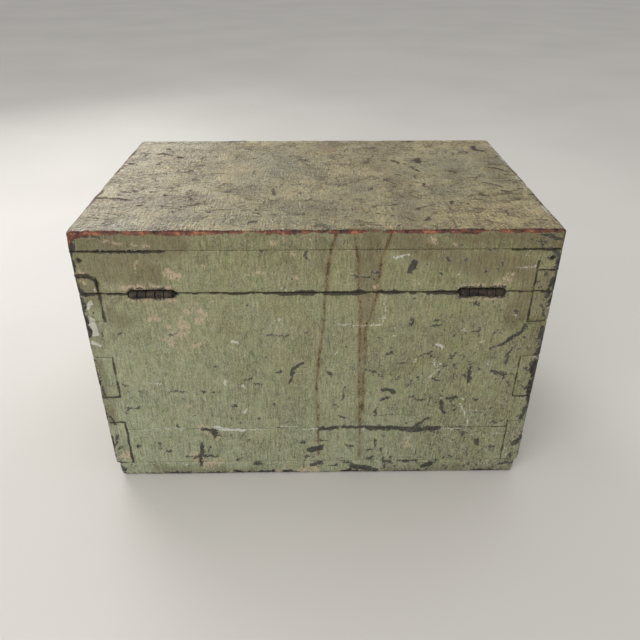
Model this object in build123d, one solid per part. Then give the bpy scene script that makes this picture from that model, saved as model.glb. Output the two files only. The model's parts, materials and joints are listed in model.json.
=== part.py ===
"""A joiner-made wooden cash box: finger-jointed carcass sawn into a body and a lid, two butt hinges at
the back, a key-driven box lock at the front, and a loose money till on two runners.

Millimetres, +Z up. The origin is the centre of the base, on the surface the box stands on. The lock side
faces -Y, the hinges are at +Y, and left and right are a user's, facing the lock.
"""

import os

from build123d import *

# --- Carcass: driving dimensions -------------------------------------------------------------------
WIDTH = 350.0
DEPTH = 234.0
HEIGHT = 229.0
WALL = 16.0
TOP_THICK = 15.0
BOTTOM_THICK = 14.0
BOTTOM_INSET = 3.0  # how far the bottom board's ends stand in from the side walls
SEAM_Z = 180.0  # height of the saw cut that parts the lid from the body
SEAM_GAP = 1.0  # what the saw and plane took away
STRIP_TOP = 51.0  # glue line between the rear wall's two boards
REAR_CORNER_R = 3.0
FRONT_CORNER_R = 8.0
ARRIS_R = 1.5

X_OUT, Y_OUT = WIDTH / 2, DEPTH / 2
X_IN, Y_IN = X_OUT - WALL, Y_OUT - WALL
WALL_LOW, WALL_HIGH = BOTTOM_THICK, HEIGHT - TOP_THICK
BODY_TOP, LID_LOW = SEAM_Z - SEAM_GAP / 2, SEAM_Z + SEAM_GAP / 2

# Height bands where a side wall's end grain comes through to the front or rear face. The joints were
# cut by hand, so the corners differ by a millimetre or two. The top band crosses the saw cut.
SIDE_BANDS = {
    "rear_right": ((WALL_LOW, 59.0), (85.5, 124.5), (156.0, 194.0)),
    "rear_left": ((WALL_LOW, 57.0), (83.5, 123.0), (154.5, 198.0)),
    "front_right": ((WALL_LOW, 58.0), (84.0, 123.5), (155.0, 196.5)),
    "front_left": ((WALL_LOW, 57.5), (85.0, 124.0), (156.0, 195.0)),
}

# --- Nails and screws ------------------------------------------------------------------------------
NAIL_R, NAIL_HEAD_R, NAIL_HEAD_T = 1.1, 2.4, 0.8
NAIL_SINK = 1.8  # how far the heads are punched below the wood's surface
BOARD_NAIL_LENGTH = 34.0
CORNER_NAIL_LENGTH = 30.0
CORNER_NAIL_INSET = 6.2  # from the side face
LID_CORNER_NAIL_Z = 206.5
BODY_CORNER_NAIL_Z = (71.0, 139.0)
LONG_RAIL_NAILS_X = (-140.0, -70.0, 0.0, 70.0, 140.0)
SIDE_RAIL_NAILS_Y = (-52.0, 0.0, 52.0)
RAIL_MIDDLE = WALL / 2
SCREW_SLOT_W, SCREW_SLOT_D = 0.6, 0.5

# --- Butt hinges -----------------------------------------------------------------------------------
HINGE_X = 121.0
HINGE_LENGTH = 32.0
HINGE_RECESS_END = 1.7  # room left at each end of the knuckles
HINGE_OUT = 1.0  # how far the pin's axis stands behind the rear face
AXIS_Y, AXIS_Z = Y_OUT + HINGE_OUT, SEAM_Z
KNUCKLES = 5
KNUCKLE_R, KNUCKLE_GAP = 3.0, 0.3
RECESS_R = 3.5
PIN_R, PIN_BORE_R = 1.5, 1.55
PIN_HEAD_R, PIN_HEAD_T = 2.3, 0.8
LEAF_T, LEAF_W = 1.5, 12.0
LEAF_FACE = 0.35  # from the axis's level to a leaf's inner face
LEAF_RELIEF = KNUCKLE_R + 0.4
HINGE_SCREW_DX, HINGE_SCREW_DY = 9.0, 7.5
HINGE_SCREW = {"length": 13.0, "shank_r": 1.3, "head_r": 2.6, "head_h": 1.3}

# --- Box lock, let into the front wall -------------------------------------------------------------
LOCK_W, LOCK_LOW = 62.0, 139.5
LOCK_PLATE_T, SELVEDGE_T, SELVEDGE_D = 1.6, 2.0, 11.4
LOCK_BACK_Y = -Y_IN  # the plate is flush with the wall's inner face
PLATE_FACE_Y = LOCK_BACK_Y - LOCK_PLATE_T
COVER_HALF_W, COVER_LOW, COVER_T = 27.0, 144.5, 1.2
COVER_FRONT_Y = LOCK_BACK_Y - 9.5
COVER_TOP = BODY_TOP - SELVEDGE_T
LOCK_SCREW_DX, LOCK_SCREW_Z = 28.2, (143.0, 171.5)
LOCK_SCREW = {"length": 9.0, "shank_r": 1.1, "head_r": 2.1, "head_h": 1.1}
HASP_X, HASP_T, HASP_W, HASP_LOW = 14.0, 2.0, 6.0, 168.0
HASP_EYE_W, HASP_EYE_Z = 3.3, (169.4, 173.2)
HASP_TENON_W = 4.0
BOLT_Y = -105.9  # mid-plane of the bolt and of the hasps
BOLT_T = 2.4
BOLT_LOW, BOLT_STRIP_TOP, BOLT_TOP = 163.0, 167.6, 172.8
BOLT_BLOCK_X = (-9.0, 6.7)
BOLT_ARM_X = (-24.0, -21.3)
CLAW_LENGTH, CLAW_LOW = 5.7, 169.8
KEY_Z = 160.0
KEY_START_DEG = -25.0  # the bit's lean from upright with the bolt drawn back
BIT_TIP_R, BIT_T = 7.0, 2.0
BIT_Y = (-108.8, -103.4)
BOLT_TRAVEL = 5.9
NOTCH_MOUTH, NOTCH_END, NOTCH_TOP = 2.95, 1.4, 167.6
STUD_X, STUD_Z, STUD_R = -11.5, 165.3, 0.8
GUIDE_SLOT_X, GUIDE_SLOT_R = (-18.6, -10.4), 1.1
DRILL_PIN_R, KEY_BORE_R, KEY_SHANK_R = 1.5, 1.65, 2.7
KEYHOLE_R, KEYHOLE_SLOT_W, KEYHOLE_REACH = 3.3, 3.0, 8.0
WARD_R, WARD_T, WARD_H = (5.0, 6.2), 1.2, 1.1
BOW_OUT_R, BOW_IN_R, BOW_T = 9.0, 5.4, 3.0
BOW_Y = -135.0
LINK_W, LINK_T, LINK_D = 60.0, 1.8, 10.6
LINK_SCREW_DX = 24.0
LINK_SCREW = {"length": 11.0, "shank_r": 1.1, "head_r": 2.2, "head_h": 1.1}
ESCUTCHEON_T, ESCUTCHEON_RX, ESCUTCHEON_RZ = 1.2, 11.0, 16.0
ESCUTCHEON_PIN_DZ = 12.6

# --- Money till ------------------------------------------------------------------------------------
TILL_X, TILL_Y = 157.0, 99.5  # half sizes
TILL_LOW, TILL_HIGH = 124.0, 166.0
TILL_WALL, TILL_FLOOR, DIVIDER_T, HOUSING = 7.0, 5.0, 5.0, 2.0
DIVIDER_TOP = 159.0
LONG_DIVIDER_Y = -18.0
COIN_DIVIDERS_X = (-78.0, 0.0, 78.0)
NOTE_DIVIDER_X = 42.0
GRIP_LENGTH, GRIP_T, GRIP_H = 62.0, 7.0, 9.0
TILL_BRAD_R, TILL_BRAD_LENGTH = 0.7, 18.0
RUNNER_T, RUNNER_H, RUNNER_LENGTH, TILL_SEAT_GAP = 9.0, 13.0, 192.0, 0.2
RUNNER_NAILS_Y = (-62.0, 62.0)
RUNNER_NAIL_LENGTH = 21.0

FIT = 0.05  # how much a fastener's hole is larger than its shank, per side
LET_IN = 0.1  # clearance round a plate that is let into wood


# --- Helpers ---------------------------------------------------------------------------------------
def block(x, y, z):
    """A box between three pairs of planes."""
    size = [high - low for low, high in (x, y, z)]
    middle = [(low + high) / 2 for low, high in (x, y, z)]
    return Pos(*middle) * Box(*size)


def rod(radius, start, length, direction):
    """A cylinder from a start point, along a direction."""
    return Plane(origin=start, z_dir=direction) * Pos(0, 0, length / 2) * Cylinder(radius, length)


def solids_of(shape):
    """Every solid of a shape or of a list of shapes."""
    if isinstance(shape, (list, tuple)):
        return [solid for part in shape for solid in solids_of(part)]
    return list(shape.solids())


def cut(shape, *cutters):
    """The shape less each cutter, in order."""
    for cutter in cutters:
        shape = shape - cutter
    return shape


def nail(surface_point, direction, length, grow=0.0):
    """A round wire nail punched below the surface, or its hole up to the surface when grow is over 0."""
    driven = Vector(*direction)
    head_point = Vector(*surface_point) + driven * NAIL_SINK
    head = rod(NAIL_HEAD_R + grow, head_point, NAIL_HEAD_T + grow, driven)
    made = head + rod(NAIL_R + grow, head_point, length + grow, driven)
    if grow > 0.0:
        made += rod(NAIL_HEAD_R + grow, head_point, NAIL_SINK, -driven)
    return made


def screw(head_point, direction, length, shank_r, head_r, head_h, grow=0.0):
    """A slotted countersunk wood screw, or its plain hole when grow is over 0."""
    plane = Plane(origin=head_point, z_dir=direction)
    tip = 2.2 * shank_r
    head = Pos(0, 0, head_h / 2) * Cone(head_r + grow, shank_r + grow, head_h)
    shank = Pos(0, 0, (length - tip) / 2) * Cylinder(shank_r + grow, length - tip)
    point = Pos(0, 0, length - tip / 2) * Cone(shank_r + grow, 0.2, tip)
    made = head + shank + point
    if grow == 0.0:
        made -= Box(3 * head_r, SCREW_SLOT_W, 2 * SCREW_SLOT_D)
    return plane * made


def keyhole(y_from, y_to):
    """The keyhole's prism between two planes of Y: a round eye with a slot below it."""
    eye = rod(KEYHOLE_R, (0, y_from, KEY_Z), y_to - y_from, (0, 1, 0))
    half = KEYHOLE_SLOT_W / 2
    return eye + block((-half, half), (y_from, y_to), (KEY_Z - KEYHOLE_REACH, KEY_Z))


# --- Carcass ---------------------------------------------------------------------------------------
def envelope():
    """The shut box's outer shape, with its corners and arrises eased."""
    shape = block((-X_OUT, X_OUT), (-Y_OUT, Y_OUT), (0, HEIGHT))
    uprights = shape.edges().filter_by(Axis.Z).group_by(Axis.Y)
    shape = fillet(uprights[-1], REAR_CORNER_R)
    uprights = shape.edges().filter_by(Axis.Z).group_by(Axis.Y)
    shape = fillet(uprights[0], FRONT_CORNER_R)
    shape = fillet(shape.faces().sort_by(Axis.Z)[-1].edges(), ARRIS_R)
    return fillet(shape.faces().sort_by(Axis.Z)[0].edges(), ARRIS_R)


def gaps_between(bands):
    """The height bands that the given ones leave between the wall's lower and upper edges."""
    edges = [WALL_LOW] + [z for band in bands for z in band] + [WALL_HIGH]
    pairs = zip(edges[::2], edges[1::2])
    return [(low, high) for low, high in pairs if high > low]


def side_wall(x):
    """A side wall at full height, with its fingers at both ends. x is its pair of planes."""
    side = "right" if x[0] > 0 else "left"
    wall = block(x, (-Y_IN, Y_IN), (WALL_LOW, WALL_HIGH))
    for band in SIDE_BANDS["front_" + side]:
        wall += block(x, (-Y_OUT, -Y_IN), band)
    for band in SIDE_BANDS["rear_" + side]:
        wall += block(x, (Y_IN, Y_OUT), band)
    return wall


def long_wall(y):
    """The front or rear wall at full height, whose fingers fill what the side walls leave."""
    end = "rear" if y[0] > 0 else "front"
    wall = block((-X_IN, X_IN), y, (WALL_LOW, WALL_HIGH))
    for band in gaps_between(SIDE_BANDS[end + "_right"]):
        wall += block((X_IN, X_OUT), y, band)
    for band in gaps_between(SIDE_BANDS[end + "_left"]):
        wall += block((-X_OUT, -X_IN), y, band)
    return wall


def board_nails(z, direction, grow=0.0):
    """The nails that hold the top or bottom board, driven in from its face at height z."""
    spots = [(x, y) for x in LONG_RAIL_NAILS_X for y in (-Y_OUT + RAIL_MIDDLE, Y_OUT - RAIL_MIDDLE)]
    spots += [(x, y) for y in SIDE_RAIL_NAILS_Y for x in (-X_OUT + RAIL_MIDDLE, X_OUT - RAIL_MIDDLE)]
    return [nail((x, y, z), direction, BOARD_NAIL_LENGTH, grow) for x, y in spots]


def corner_nails(heights, grow=0.0):
    """Nails through the front and rear walls' fingers into the side walls."""
    inset = X_OUT - CORNER_NAIL_INSET
    return [
        nail((x, y_sign * Y_OUT, z), (0, -y_sign, 0), CORNER_NAIL_LENGTH, grow)
        for z in heights
        for x in (-inset, inset)
        for y_sign in (-1, 1)
    ]


# --- Hinges ----------------------------------------------------------------------------------------
def knuckle_spans(x_mid, first):
    """X spans of every second knuckle, from the first or the second on, with running gaps."""
    pitch = HINGE_LENGTH / KNUCKLES
    low = x_mid - HINGE_LENGTH / 2
    gap = KNUCKLE_GAP / 2
    return [(low + n * pitch + gap, low + (n + 1) * pitch - gap) for n in range(first, KNUCKLES, 2)]


def hinge_leaf(x_mid, up):
    """One leaf with its rolled knuckles: the lid's (up is 1) has two, the body's (up is -1) three."""
    own, others = (1, 0) if up > 0 else (0, 1)
    faces = sorted((AXIS_Z + up * LEAF_FACE, AXIS_Z + up * (LEAF_FACE + LEAF_T)))
    half = HINGE_LENGTH / 2
    leaf = block((x_mid - half, x_mid + half), (AXIS_Y - LEAF_W, AXIS_Y), faces)
    for low, high in knuckle_spans(x_mid, others):
        span = (low - KNUCKLE_GAP, high + KNUCKLE_GAP)
        leaf -= block(span, (AXIS_Y - LEAF_RELIEF, AXIS_Y + 1), (AXIS_Z - 5, AXIS_Z + 5))
    for low, high in knuckle_spans(x_mid, own):
        leaf += rod(KNUCKLE_R, (low, AXIS_Y, AXIS_Z), high - low, (1, 0, 0))
    bore = rod(PIN_BORE_R, (x_mid - half - 1, AXIS_Y, AXIS_Z), HINGE_LENGTH + 2, (1, 0, 0))
    return cut(leaf, bore, *hinge_screws(x_mid, up, grow=FIT))


def hinge_screws(x_mid, up, grow=0.0):
    """A leaf's two screws, driven up into the lid or down into the body."""
    z = AXIS_Z + up * LEAF_FACE
    return [
        screw((x_mid + dx, AXIS_Y - HINGE_SCREW_DY, z), (0, 0, up), grow=grow, **HINGE_SCREW)
        for dx in (-HINGE_SCREW_DX, HINGE_SCREW_DX)
    ]


def hinge_pin(x_mid):
    """The pin, with both ends peened over."""
    half = HINGE_LENGTH / 2
    pin = rod(PIN_R, (x_mid - half, AXIS_Y, AXIS_Z), HINGE_LENGTH, (1, 0, 0))
    for sign in (-1, 1):
        head = rod(PIN_HEAD_R, (x_mid + sign * half, AXIS_Y, AXIS_Z), PIN_HEAD_T, (sign, 0, 0))
        outer = head.faces().sort_by(Axis.X)[-1 if sign > 0 else 0]
        pin += fillet(outer.edges(), PIN_HEAD_T * 0.6)
    return pin


def hinge_recess(x_mid, up):
    """What is cut out of a rear board for one leaf and for the knuckles."""
    half = HINGE_LENGTH / 2
    knuckles = rod(
        RECESS_R,
        (x_mid - half - HINGE_RECESS_END, AXIS_Y, AXIS_Z),
        HINGE_LENGTH + 2 * HINGE_RECESS_END,
        (1, 0, 0),
    )
    faces = sorted((AXIS_Z, AXIS_Z + up * (LEAF_FACE + LEAF_T)))
    span = (x_mid - half - LET_IN, x_mid + half + LET_IN)
    return knuckles + block(span, (AXIS_Y - LEAF_W - LET_IN, AXIS_Y), faces)


# --- Lock ------------------------------------------------------------------------------------------
def lock_screws(grow=0.0):
    """Four screws through the lock plate, from inside the box."""
    spots = [(x, z) for x in (-LOCK_SCREW_DX, LOCK_SCREW_DX) for z in LOCK_SCREW_Z]
    return [screw((x, LOCK_BACK_Y, z), (0, -1, 0), grow=grow, **LOCK_SCREW) for x, z in spots]


def lock_plate():
    """The back plate with its selvedge turned over the wall's top edge, slotted for the hasps."""
    half = LOCK_W / 2
    plate = block((-half, half), (PLATE_FACE_Y, LOCK_BACK_Y), (LOCK_LOW, BODY_TOP))
    plate += block((-half, half), (LOCK_BACK_Y - SELVEDGE_D, LOCK_BACK_Y), (COVER_TOP, BODY_TOP))
    slot_y = (BOLT_Y - HASP_W / 2 - 0.8, BOLT_Y + HASP_W / 2 + 0.4)
    for x in (-HASP_X, HASP_X):
        slot_x = (x - HASP_T / 2 - 0.5, x + HASP_T / 2 + 0.5)
        plate -= block(slot_x, slot_y, (COVER_TOP - 1, BODY_TOP + 1))
    return cut(plate, drill_pin(), guide_stud(), *lock_screws(grow=FIT))


def lock_cover():
    """The pressed cover that boxes in the works, with the keyhole in its front."""
    outer = (-COVER_HALF_W, COVER_HALF_W)
    inner = (-COVER_HALF_W + COVER_T, COVER_HALF_W - COVER_T)
    cover = block(outer, (COVER_FRONT_Y, PLATE_FACE_Y), (COVER_LOW, COVER_TOP))
    cover -= block(inner, (COVER_FRONT_Y + COVER_T, PLATE_FACE_Y + 1), (COVER_LOW + COVER_T, COVER_TOP + 1))
    return cover - keyhole(COVER_FRONT_Y - 1, COVER_FRONT_Y + COVER_T + 1)


def lock_ward():
    """A curved ward on the cover's inside, open below for the bit to enter."""
    y = COVER_FRONT_Y + COVER_T
    ring = rod(WARD_R[1], (0, y, KEY_Z), WARD_H, (0, 1, 0)) - rod(WARD_R[0], (0, y, KEY_Z), WARD_H, (0, 1, 0))
    return ring - block((-4, 4), (y - 1, y + WARD_H + 1), (KEY_Z - 8, KEY_Z))


def drill_pin():
    """The pin that the barrel key turns on, riveted through the back plate."""
    return rod(DRILL_PIN_R, (0, LOCK_BACK_Y, KEY_Z), 12.0, (0, -1, 0))


def guide_stud():
    """The stud that the bolt's slot runs on."""
    return rod(STUD_R, (STUD_X, LOCK_BACK_Y, STUD_Z), LOCK_PLATE_T + 4.9, (0, -1, 0))


def lock_bolt():
    """The sliding bolt, drawn back: a strip with two claws and a tapered notch for the key's bit."""
    y = (BOLT_Y - BOLT_T / 2, BOLT_Y + BOLT_T / 2)
    bolt = block((BOLT_ARM_X[0], BOLT_BLOCK_X[1]), y, (BOLT_LOW, BOLT_STRIP_TOP))
    bolt += block(BOLT_BLOCK_X, y, (BOLT_LOW, BOLT_TOP))
    bolt += block(BOLT_ARM_X, y, (BOLT_LOW, BOLT_TOP))
    for root_x in (BOLT_ARM_X[1], BOLT_BLOCK_X[1]):
        bolt += block((root_x, root_x + CLAW_LENGTH), y, (CLAW_LOW, BOLT_TOP))
    middle = -BOLT_TRAVEL / 2
    notch = Plane.XZ * Polygon(
        (middle - NOTCH_MOUTH, BOLT_LOW - 0.01),
        (middle + NOTCH_MOUTH, BOLT_LOW - 0.01),
        (middle + NOTCH_END, NOTCH_TOP),
        (middle - NOTCH_END, NOTCH_TOP),
        align=None,
    )
    notch = Pos(0, BOLT_Y + BOLT_T, 0) * extrude(notch, 2 * BOLT_T)
    slot = block(
        (GUIDE_SLOT_X[0] + GUIDE_SLOT_R, GUIDE_SLOT_X[1] - GUIDE_SLOT_R),
        y,
        (STUD_Z - GUIDE_SLOT_R, STUD_Z + GUIDE_SLOT_R),
    )
    for x in (GUIDE_SLOT_X[0] + GUIDE_SLOT_R, GUIDE_SLOT_X[1] - GUIDE_SLOT_R):
        slot += rod(GUIDE_SLOT_R, (x, y[0], STUD_Z), BOLT_T, (0, 1, 0))
    return cut(bolt, notch, slot)


def bolt_spring():
    """A bowed flat spring on the bolt's top, which keeps it where the key leaves it."""
    left, right = BOLT_BLOCK_X[0] + 1, BOLT_BLOCK_X[1] - 1
    rise, thick = 3.9, 0.5
    low = ThreePointArc((left, BOLT_TOP), ((left + right) / 2, BOLT_TOP + rise), (right, BOLT_TOP))
    high = ThreePointArc(
        (right, BOLT_TOP + thick), ((left + right) / 2, BOLT_TOP + rise + thick), (left, BOLT_TOP + thick)
    )
    ends = Line(low @ 1, high @ 0) + Line(high @ 1, low @ 0)
    profile = Plane.XZ * make_face(low + high + ends)
    return Pos(0, BOLT_Y + BOLT_T / 2, 0) * extrude(profile, BOLT_T)


def key():
    """The barrel key, built upright and then leaned to where it meets the bolt drawn back."""
    barrel_end = BIT_Y[1]
    shank = rod(KEY_SHANK_R, (0, BOW_Y + BOW_IN_R + 1.5, KEY_Z), barrel_end - BOW_Y - BOW_IN_R - 1.5, (0, 1, 0))
    for y, radius in ((-126.5, 4.0), (-123.6, 3.6)):
        shank += rod(radius, (0, y, KEY_Z), 1.4, (0, 1, 0))
    ring = rod(BOW_OUT_R, (-BOW_T / 2, BOW_Y, KEY_Z), BOW_T, (1, 0, 0))
    ring -= rod(BOW_IN_R, (-BOW_T / 2, BOW_Y, KEY_Z), BOW_T, (1, 0, 0))
    ring = fillet(ring.edges(), 0.8)
    bit = block((-BIT_T / 2, BIT_T / 2), BIT_Y, (KEY_Z, KEY_Z + BIT_TIP_R))
    ward_y = COVER_FRONT_Y + COVER_T + WARD_H + 0.3
    bit -= block((-BIT_T, BIT_T), (BIT_Y[0] - 1, ward_y), (KEY_Z + WARD_R[0] - 0.4, KEY_Z + WARD_R[1] + 0.5))
    bore = rod(KEY_BORE_R, (0, -114.5, KEY_Z), barrel_end + 114.5 + 1, (0, 1, 0))
    made = (shank + ring + bit) - bore
    return made.rotate(Axis((0, 0, KEY_Z), (0, 1, 0)), KEY_START_DEG)


def link_screws(grow=0.0):
    """The link plate's two screws, up into the lid's front rail."""
    return [screw((x, BOLT_Y, LID_LOW), (0, 0, 1), grow=grow, **LINK_SCREW) for x in (-LINK_SCREW_DX, LINK_SCREW_DX)]


def link_hasps():
    """The two hasps that drop through the selvedge, each with an eye for a claw."""
    made = []
    for x in (-HASP_X, HASP_X):
        span = (x - HASP_T / 2, x + HASP_T / 2)
        hasp = block(span, (BOLT_Y - HASP_W / 2, BOLT_Y + HASP_W / 2), (HASP_LOW, LID_LOW))
        tenon_y = (BOLT_Y - HASP_TENON_W / 2, BOLT_Y + HASP_TENON_W / 2)
        hasp += block(span, tenon_y, (LID_LOW, LID_LOW + LINK_T))
        eye_y = (BOLT_Y - HASP_EYE_W / 2, BOLT_Y + HASP_EYE_W / 2)
        made.append(hasp - block((x - HASP_T, x + HASP_T), eye_y, HASP_EYE_Z))
    return made


def link_plate():
    """The plate let into the underside of the lid's front rail."""
    half, deep = LINK_W / 2, LINK_D / 2
    plate = block((-half, half), (BOLT_Y - deep, BOLT_Y + deep - 1), (LID_LOW, LID_LOW + LINK_T))
    return cut(plate, *link_hasps(), *link_screws(grow=FIT))


def escutcheon_pins(grow=0.0):
    """Two round-headed pins that hold the escutcheon."""
    made = []
    for dz in (-ESCUTCHEON_PIN_DZ, ESCUTCHEON_PIN_DZ):
        start = (0, -Y_OUT - ESCUTCHEON_T, KEY_Z + dz)
        pin = rod(0.8 + grow, start, 7.0, (0, 1, 0))
        if grow == 0.0:
            pin += fillet(rod(1.5, start, 0.7, (0, -1, 0)).faces().sort_by(Axis.Y)[0].edges(), 0.6)
        made.append(pin)
    return made


def escutcheon():
    """The oval plate round the keyhole on the front face."""
    oval = Plane.XZ * (Pos(0, KEY_Z) * Ellipse(ESCUTCHEON_RX, ESCUTCHEON_RZ))
    plate = Pos(0, -Y_OUT, 0) * extrude(oval, ESCUTCHEON_T)
    plate = fillet(plate.faces().sort_by(Axis.Y)[0].edges(), 0.6)
    return cut(plate, keyhole(-Y_OUT - 3, -Y_OUT + 1), *escutcheon_pins(grow=FIT))


def lock_pocket():
    """What is cut out of the front wall for the lock, its screws and the key."""
    half = LOCK_W / 2 + LET_IN
    pocket = block((-half, half), (PLATE_FACE_Y, LOCK_BACK_Y + 1), (LOCK_LOW - LET_IN, BODY_TOP + 1))
    selvedge_y = (LOCK_BACK_Y - SELVEDGE_D - LET_IN, LOCK_BACK_Y + 1)
    pocket += block((-half, half), selvedge_y, (COVER_TOP, BODY_TOP + 1))
    case = COVER_HALF_W + LET_IN
    pocket += block((-case, case), (COVER_FRONT_Y - 0.3, PLATE_FACE_Y), (COVER_LOW - LET_IN, COVER_TOP))
    pocket += rod(DRILL_PIN_R + 0.5, (0, COVER_FRONT_Y, KEY_Z), 4.5, (0, -1, 0))
    return [pocket, keyhole(-Y_OUT - 1, COVER_FRONT_Y), *lock_screws(grow=FIT), *escutcheon_pins(grow=FIT)]


def link_pocket():
    """What is cut out of the lid's front rail for the link plate and its screws."""
    half, deep = LINK_W / 2 + LET_IN, LINK_D / 2 + LET_IN
    pocket = block((-half, half), (BOLT_Y - deep, BOLT_Y + deep - 1), (LID_LOW - 1, LID_LOW + LINK_T))
    return [pocket, *link_screws(grow=FIT)]


# --- Till ------------------------------------------------------------------------------------------
def till_parts():
    """The till's boards, each housed in its neighbours, as {name: shape}."""
    walls_z = (TILL_LOW + TILL_FLOOR, TILL_HIGH)
    parts_z = (TILL_LOW + TILL_FLOOR, DIVIDER_TOP)
    inner_x, inner_y = TILL_X - TILL_WALL, TILL_Y - TILL_WALL
    end_y = (-inner_y - HOUSING, inner_y + HOUSING)
    ends = {
        "till_left_end": block((-TILL_X, -inner_x), end_y, walls_z),
        "till_right_end": block((inner_x, TILL_X), end_y, walls_z),
    }
    divider_y = (LONG_DIVIDER_Y - DIVIDER_T / 2, LONG_DIVIDER_Y + DIVIDER_T / 2)
    long_divider = block((-inner_x - HOUSING, inner_x + HOUSING), divider_y, parts_z)
    half = DIVIDER_T / 2
    coin_dividers = [
        block((x - half, x + half), (-inner_y - HOUSING, divider_y[0] + 1), parts_z) for x in COIN_DIVIDERS_X
    ]
    note_x = (NOTE_DIVIDER_X - half, NOTE_DIVIDER_X + half)
    note_divider = block(note_x, (divider_y[1] - 1, inner_y + HOUSING), parts_z)
    front = block((-TILL_X, TILL_X), (-TILL_Y, -inner_y), walls_z)
    back = block((-TILL_X, TILL_X), (inner_y, TILL_Y), walls_z)
    floor = block((-TILL_X, TILL_X), (-TILL_Y, TILL_Y), (TILL_LOW, walls_z[0]))
    brads = till_brads()
    holes = till_brads(grow=FIT)
    return {
        "till_front": cut(front, *ends.values(), *coin_dividers, *holes),
        "till_back": cut(back, *ends.values(), note_divider, *holes),
        "till_left_end": cut(ends["till_left_end"], long_divider, *holes),
        "till_right_end": cut(ends["till_right_end"], long_divider, *holes),
        "till_floor": floor,
        "till_long_divider": cut(long_divider, *coin_dividers, note_divider),
        "till_coin_dividers": coin_dividers,
        "till_note_divider": note_divider,
        "till_grips": till_grips(),
        "till_brads": brads,
    }


def till_brads(grow=0.0):
    """Two brads at each corner, through the long boards into the ends' end grain."""
    return [
        rod(TILL_BRAD_R + grow, (x, y_sign * TILL_Y, z), TILL_BRAD_LENGTH, (0, -y_sign, 0))
        for x in (-TILL_X + TILL_WALL / 2, TILL_X - TILL_WALL / 2)
        for y_sign in (-1, 1)
        for z in (TILL_LOW + 13, TILL_HIGH - 9)
    ]


def till_grips():
    """A wooden finger grip glued inside each end."""
    made = []
    for sign in (-1, 1):
        x = sorted((sign * (TILL_X - TILL_WALL), sign * (TILL_X - TILL_WALL - GRIP_T)))
        y_mid = (LONG_DIVIDER_Y + DIVIDER_T / 2 + TILL_Y - TILL_WALL) / 2
        grip = block(x, (y_mid - GRIP_LENGTH / 2, y_mid + GRIP_LENGTH / 2), (TILL_HIGH - 4 - GRIP_H, TILL_HIGH - 4))
        inner = grip.edges().filter_by(Axis.Y).sort_by(Axis.X)
        made.append(fillet(inner[:2] if sign > 0 else inner[-2:], 2.5))
    return made


def runner(sign, grow=0.0):
    """A cleat on a side wall that carries the till."""
    top = TILL_LOW - TILL_SEAT_GAP
    x = sorted((sign * X_IN, sign * (X_IN - RUNNER_T)))
    cleat = block(x, (-RUNNER_LENGTH / 2, RUNNER_LENGTH / 2), (top - RUNNER_H, top))
    return cut(cleat, *runner_nails(grow=FIT))


def runner_nails(grow=0.0):
    """Nails through the runners into the side walls."""
    z = TILL_LOW - TILL_SEAT_GAP - RUNNER_H / 2
    return [
        nail((sign * (X_IN - RUNNER_T), y, z), (sign, 0, 0), RUNNER_NAIL_LENGTH, grow)
        for sign in (-1, 1)
        for y in RUNNER_NAILS_Y
    ]


# --- Assembly --------------------------------------------------------------------------------------
def carcass_parts():
    """The boards of the body and of the lid, as {name: shape}."""
    outer = envelope()
    body_zone = block((-X_OUT, X_OUT), (-Y_OUT, Y_OUT), (WALL_LOW, BODY_TOP))
    lid_zone = block((-X_OUT, X_OUT), (-Y_OUT, Y_OUT), (LID_LOW, WALL_HIGH))
    left, right = side_wall((-X_OUT, -X_IN)) & outer, side_wall((X_IN, X_OUT)) & outer
    front, rear = long_wall((-Y_OUT, -Y_IN)) & outer, long_wall((Y_IN, Y_OUT)) & outer
    strip_zone = block((-X_OUT, X_OUT), (Y_IN, Y_OUT), (WALL_LOW, STRIP_TOP))
    top = block((-X_OUT, X_OUT), (-Y_OUT, Y_OUT), (WALL_HIGH, HEIGHT)) & outer
    bottom_x = X_OUT - BOTTOM_INSET
    bottom = block((-bottom_x, bottom_x), (-Y_OUT, Y_OUT), (0, WALL_LOW)) & outer

    bottom_holes = board_nails(0, (0, 0, 1), FIT)
    top_holes = board_nails(HEIGHT, (0, 0, -1), FIT)
    body_corner_holes = corner_nails(BODY_CORNER_NAIL_Z, FIT)
    lid_corner_holes = corner_nails((LID_CORNER_NAIL_Z,), FIT)
    body_hinge_cuts = [hinge_recess(x, -1) for x in (-HINGE_X, HINGE_X)]
    body_hinge_cuts += [hole for x in (-HINGE_X, HINGE_X) for hole in hinge_screws(x, -1, FIT)]
    lid_hinge_cuts = [hinge_recess(x, 1) for x in (-HINGE_X, HINGE_X)]
    lid_hinge_cuts += [hole for x in (-HINGE_X, HINGE_X) for hole in hinge_screws(x, 1, FIT)]
    body_holes = bottom_holes + body_corner_holes
    side_holes = body_holes + runner_nails(FIT)
    lid_holes = top_holes + lid_corner_holes

    rear_body = rear & body_zone
    return {
        "bottom_board": cut(bottom, *bottom_holes),
        "left_wall": cut(left & body_zone, *side_holes),
        "right_wall": cut(right & body_zone, *side_holes),
        "front_wall": cut(front & body_zone, *body_holes, *lock_pocket()),
        "rear_wall": cut(rear_body - strip_zone, *body_holes, *body_hinge_cuts),
        "rear_wall_strip": cut(rear_body & strip_zone, *bottom_holes),
        "top_board": cut(top, *top_holes),
        "lid_left_rail": cut(left & lid_zone, *lid_holes),
        "lid_right_rail": cut(right & lid_zone, *lid_holes),
        "lid_front_rail": cut(front & lid_zone, *lid_holes, *link_pocket()),
        "lid_rear_rail": cut(rear & lid_zone, *lid_holes, *lid_hinge_cuts),
    }


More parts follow.
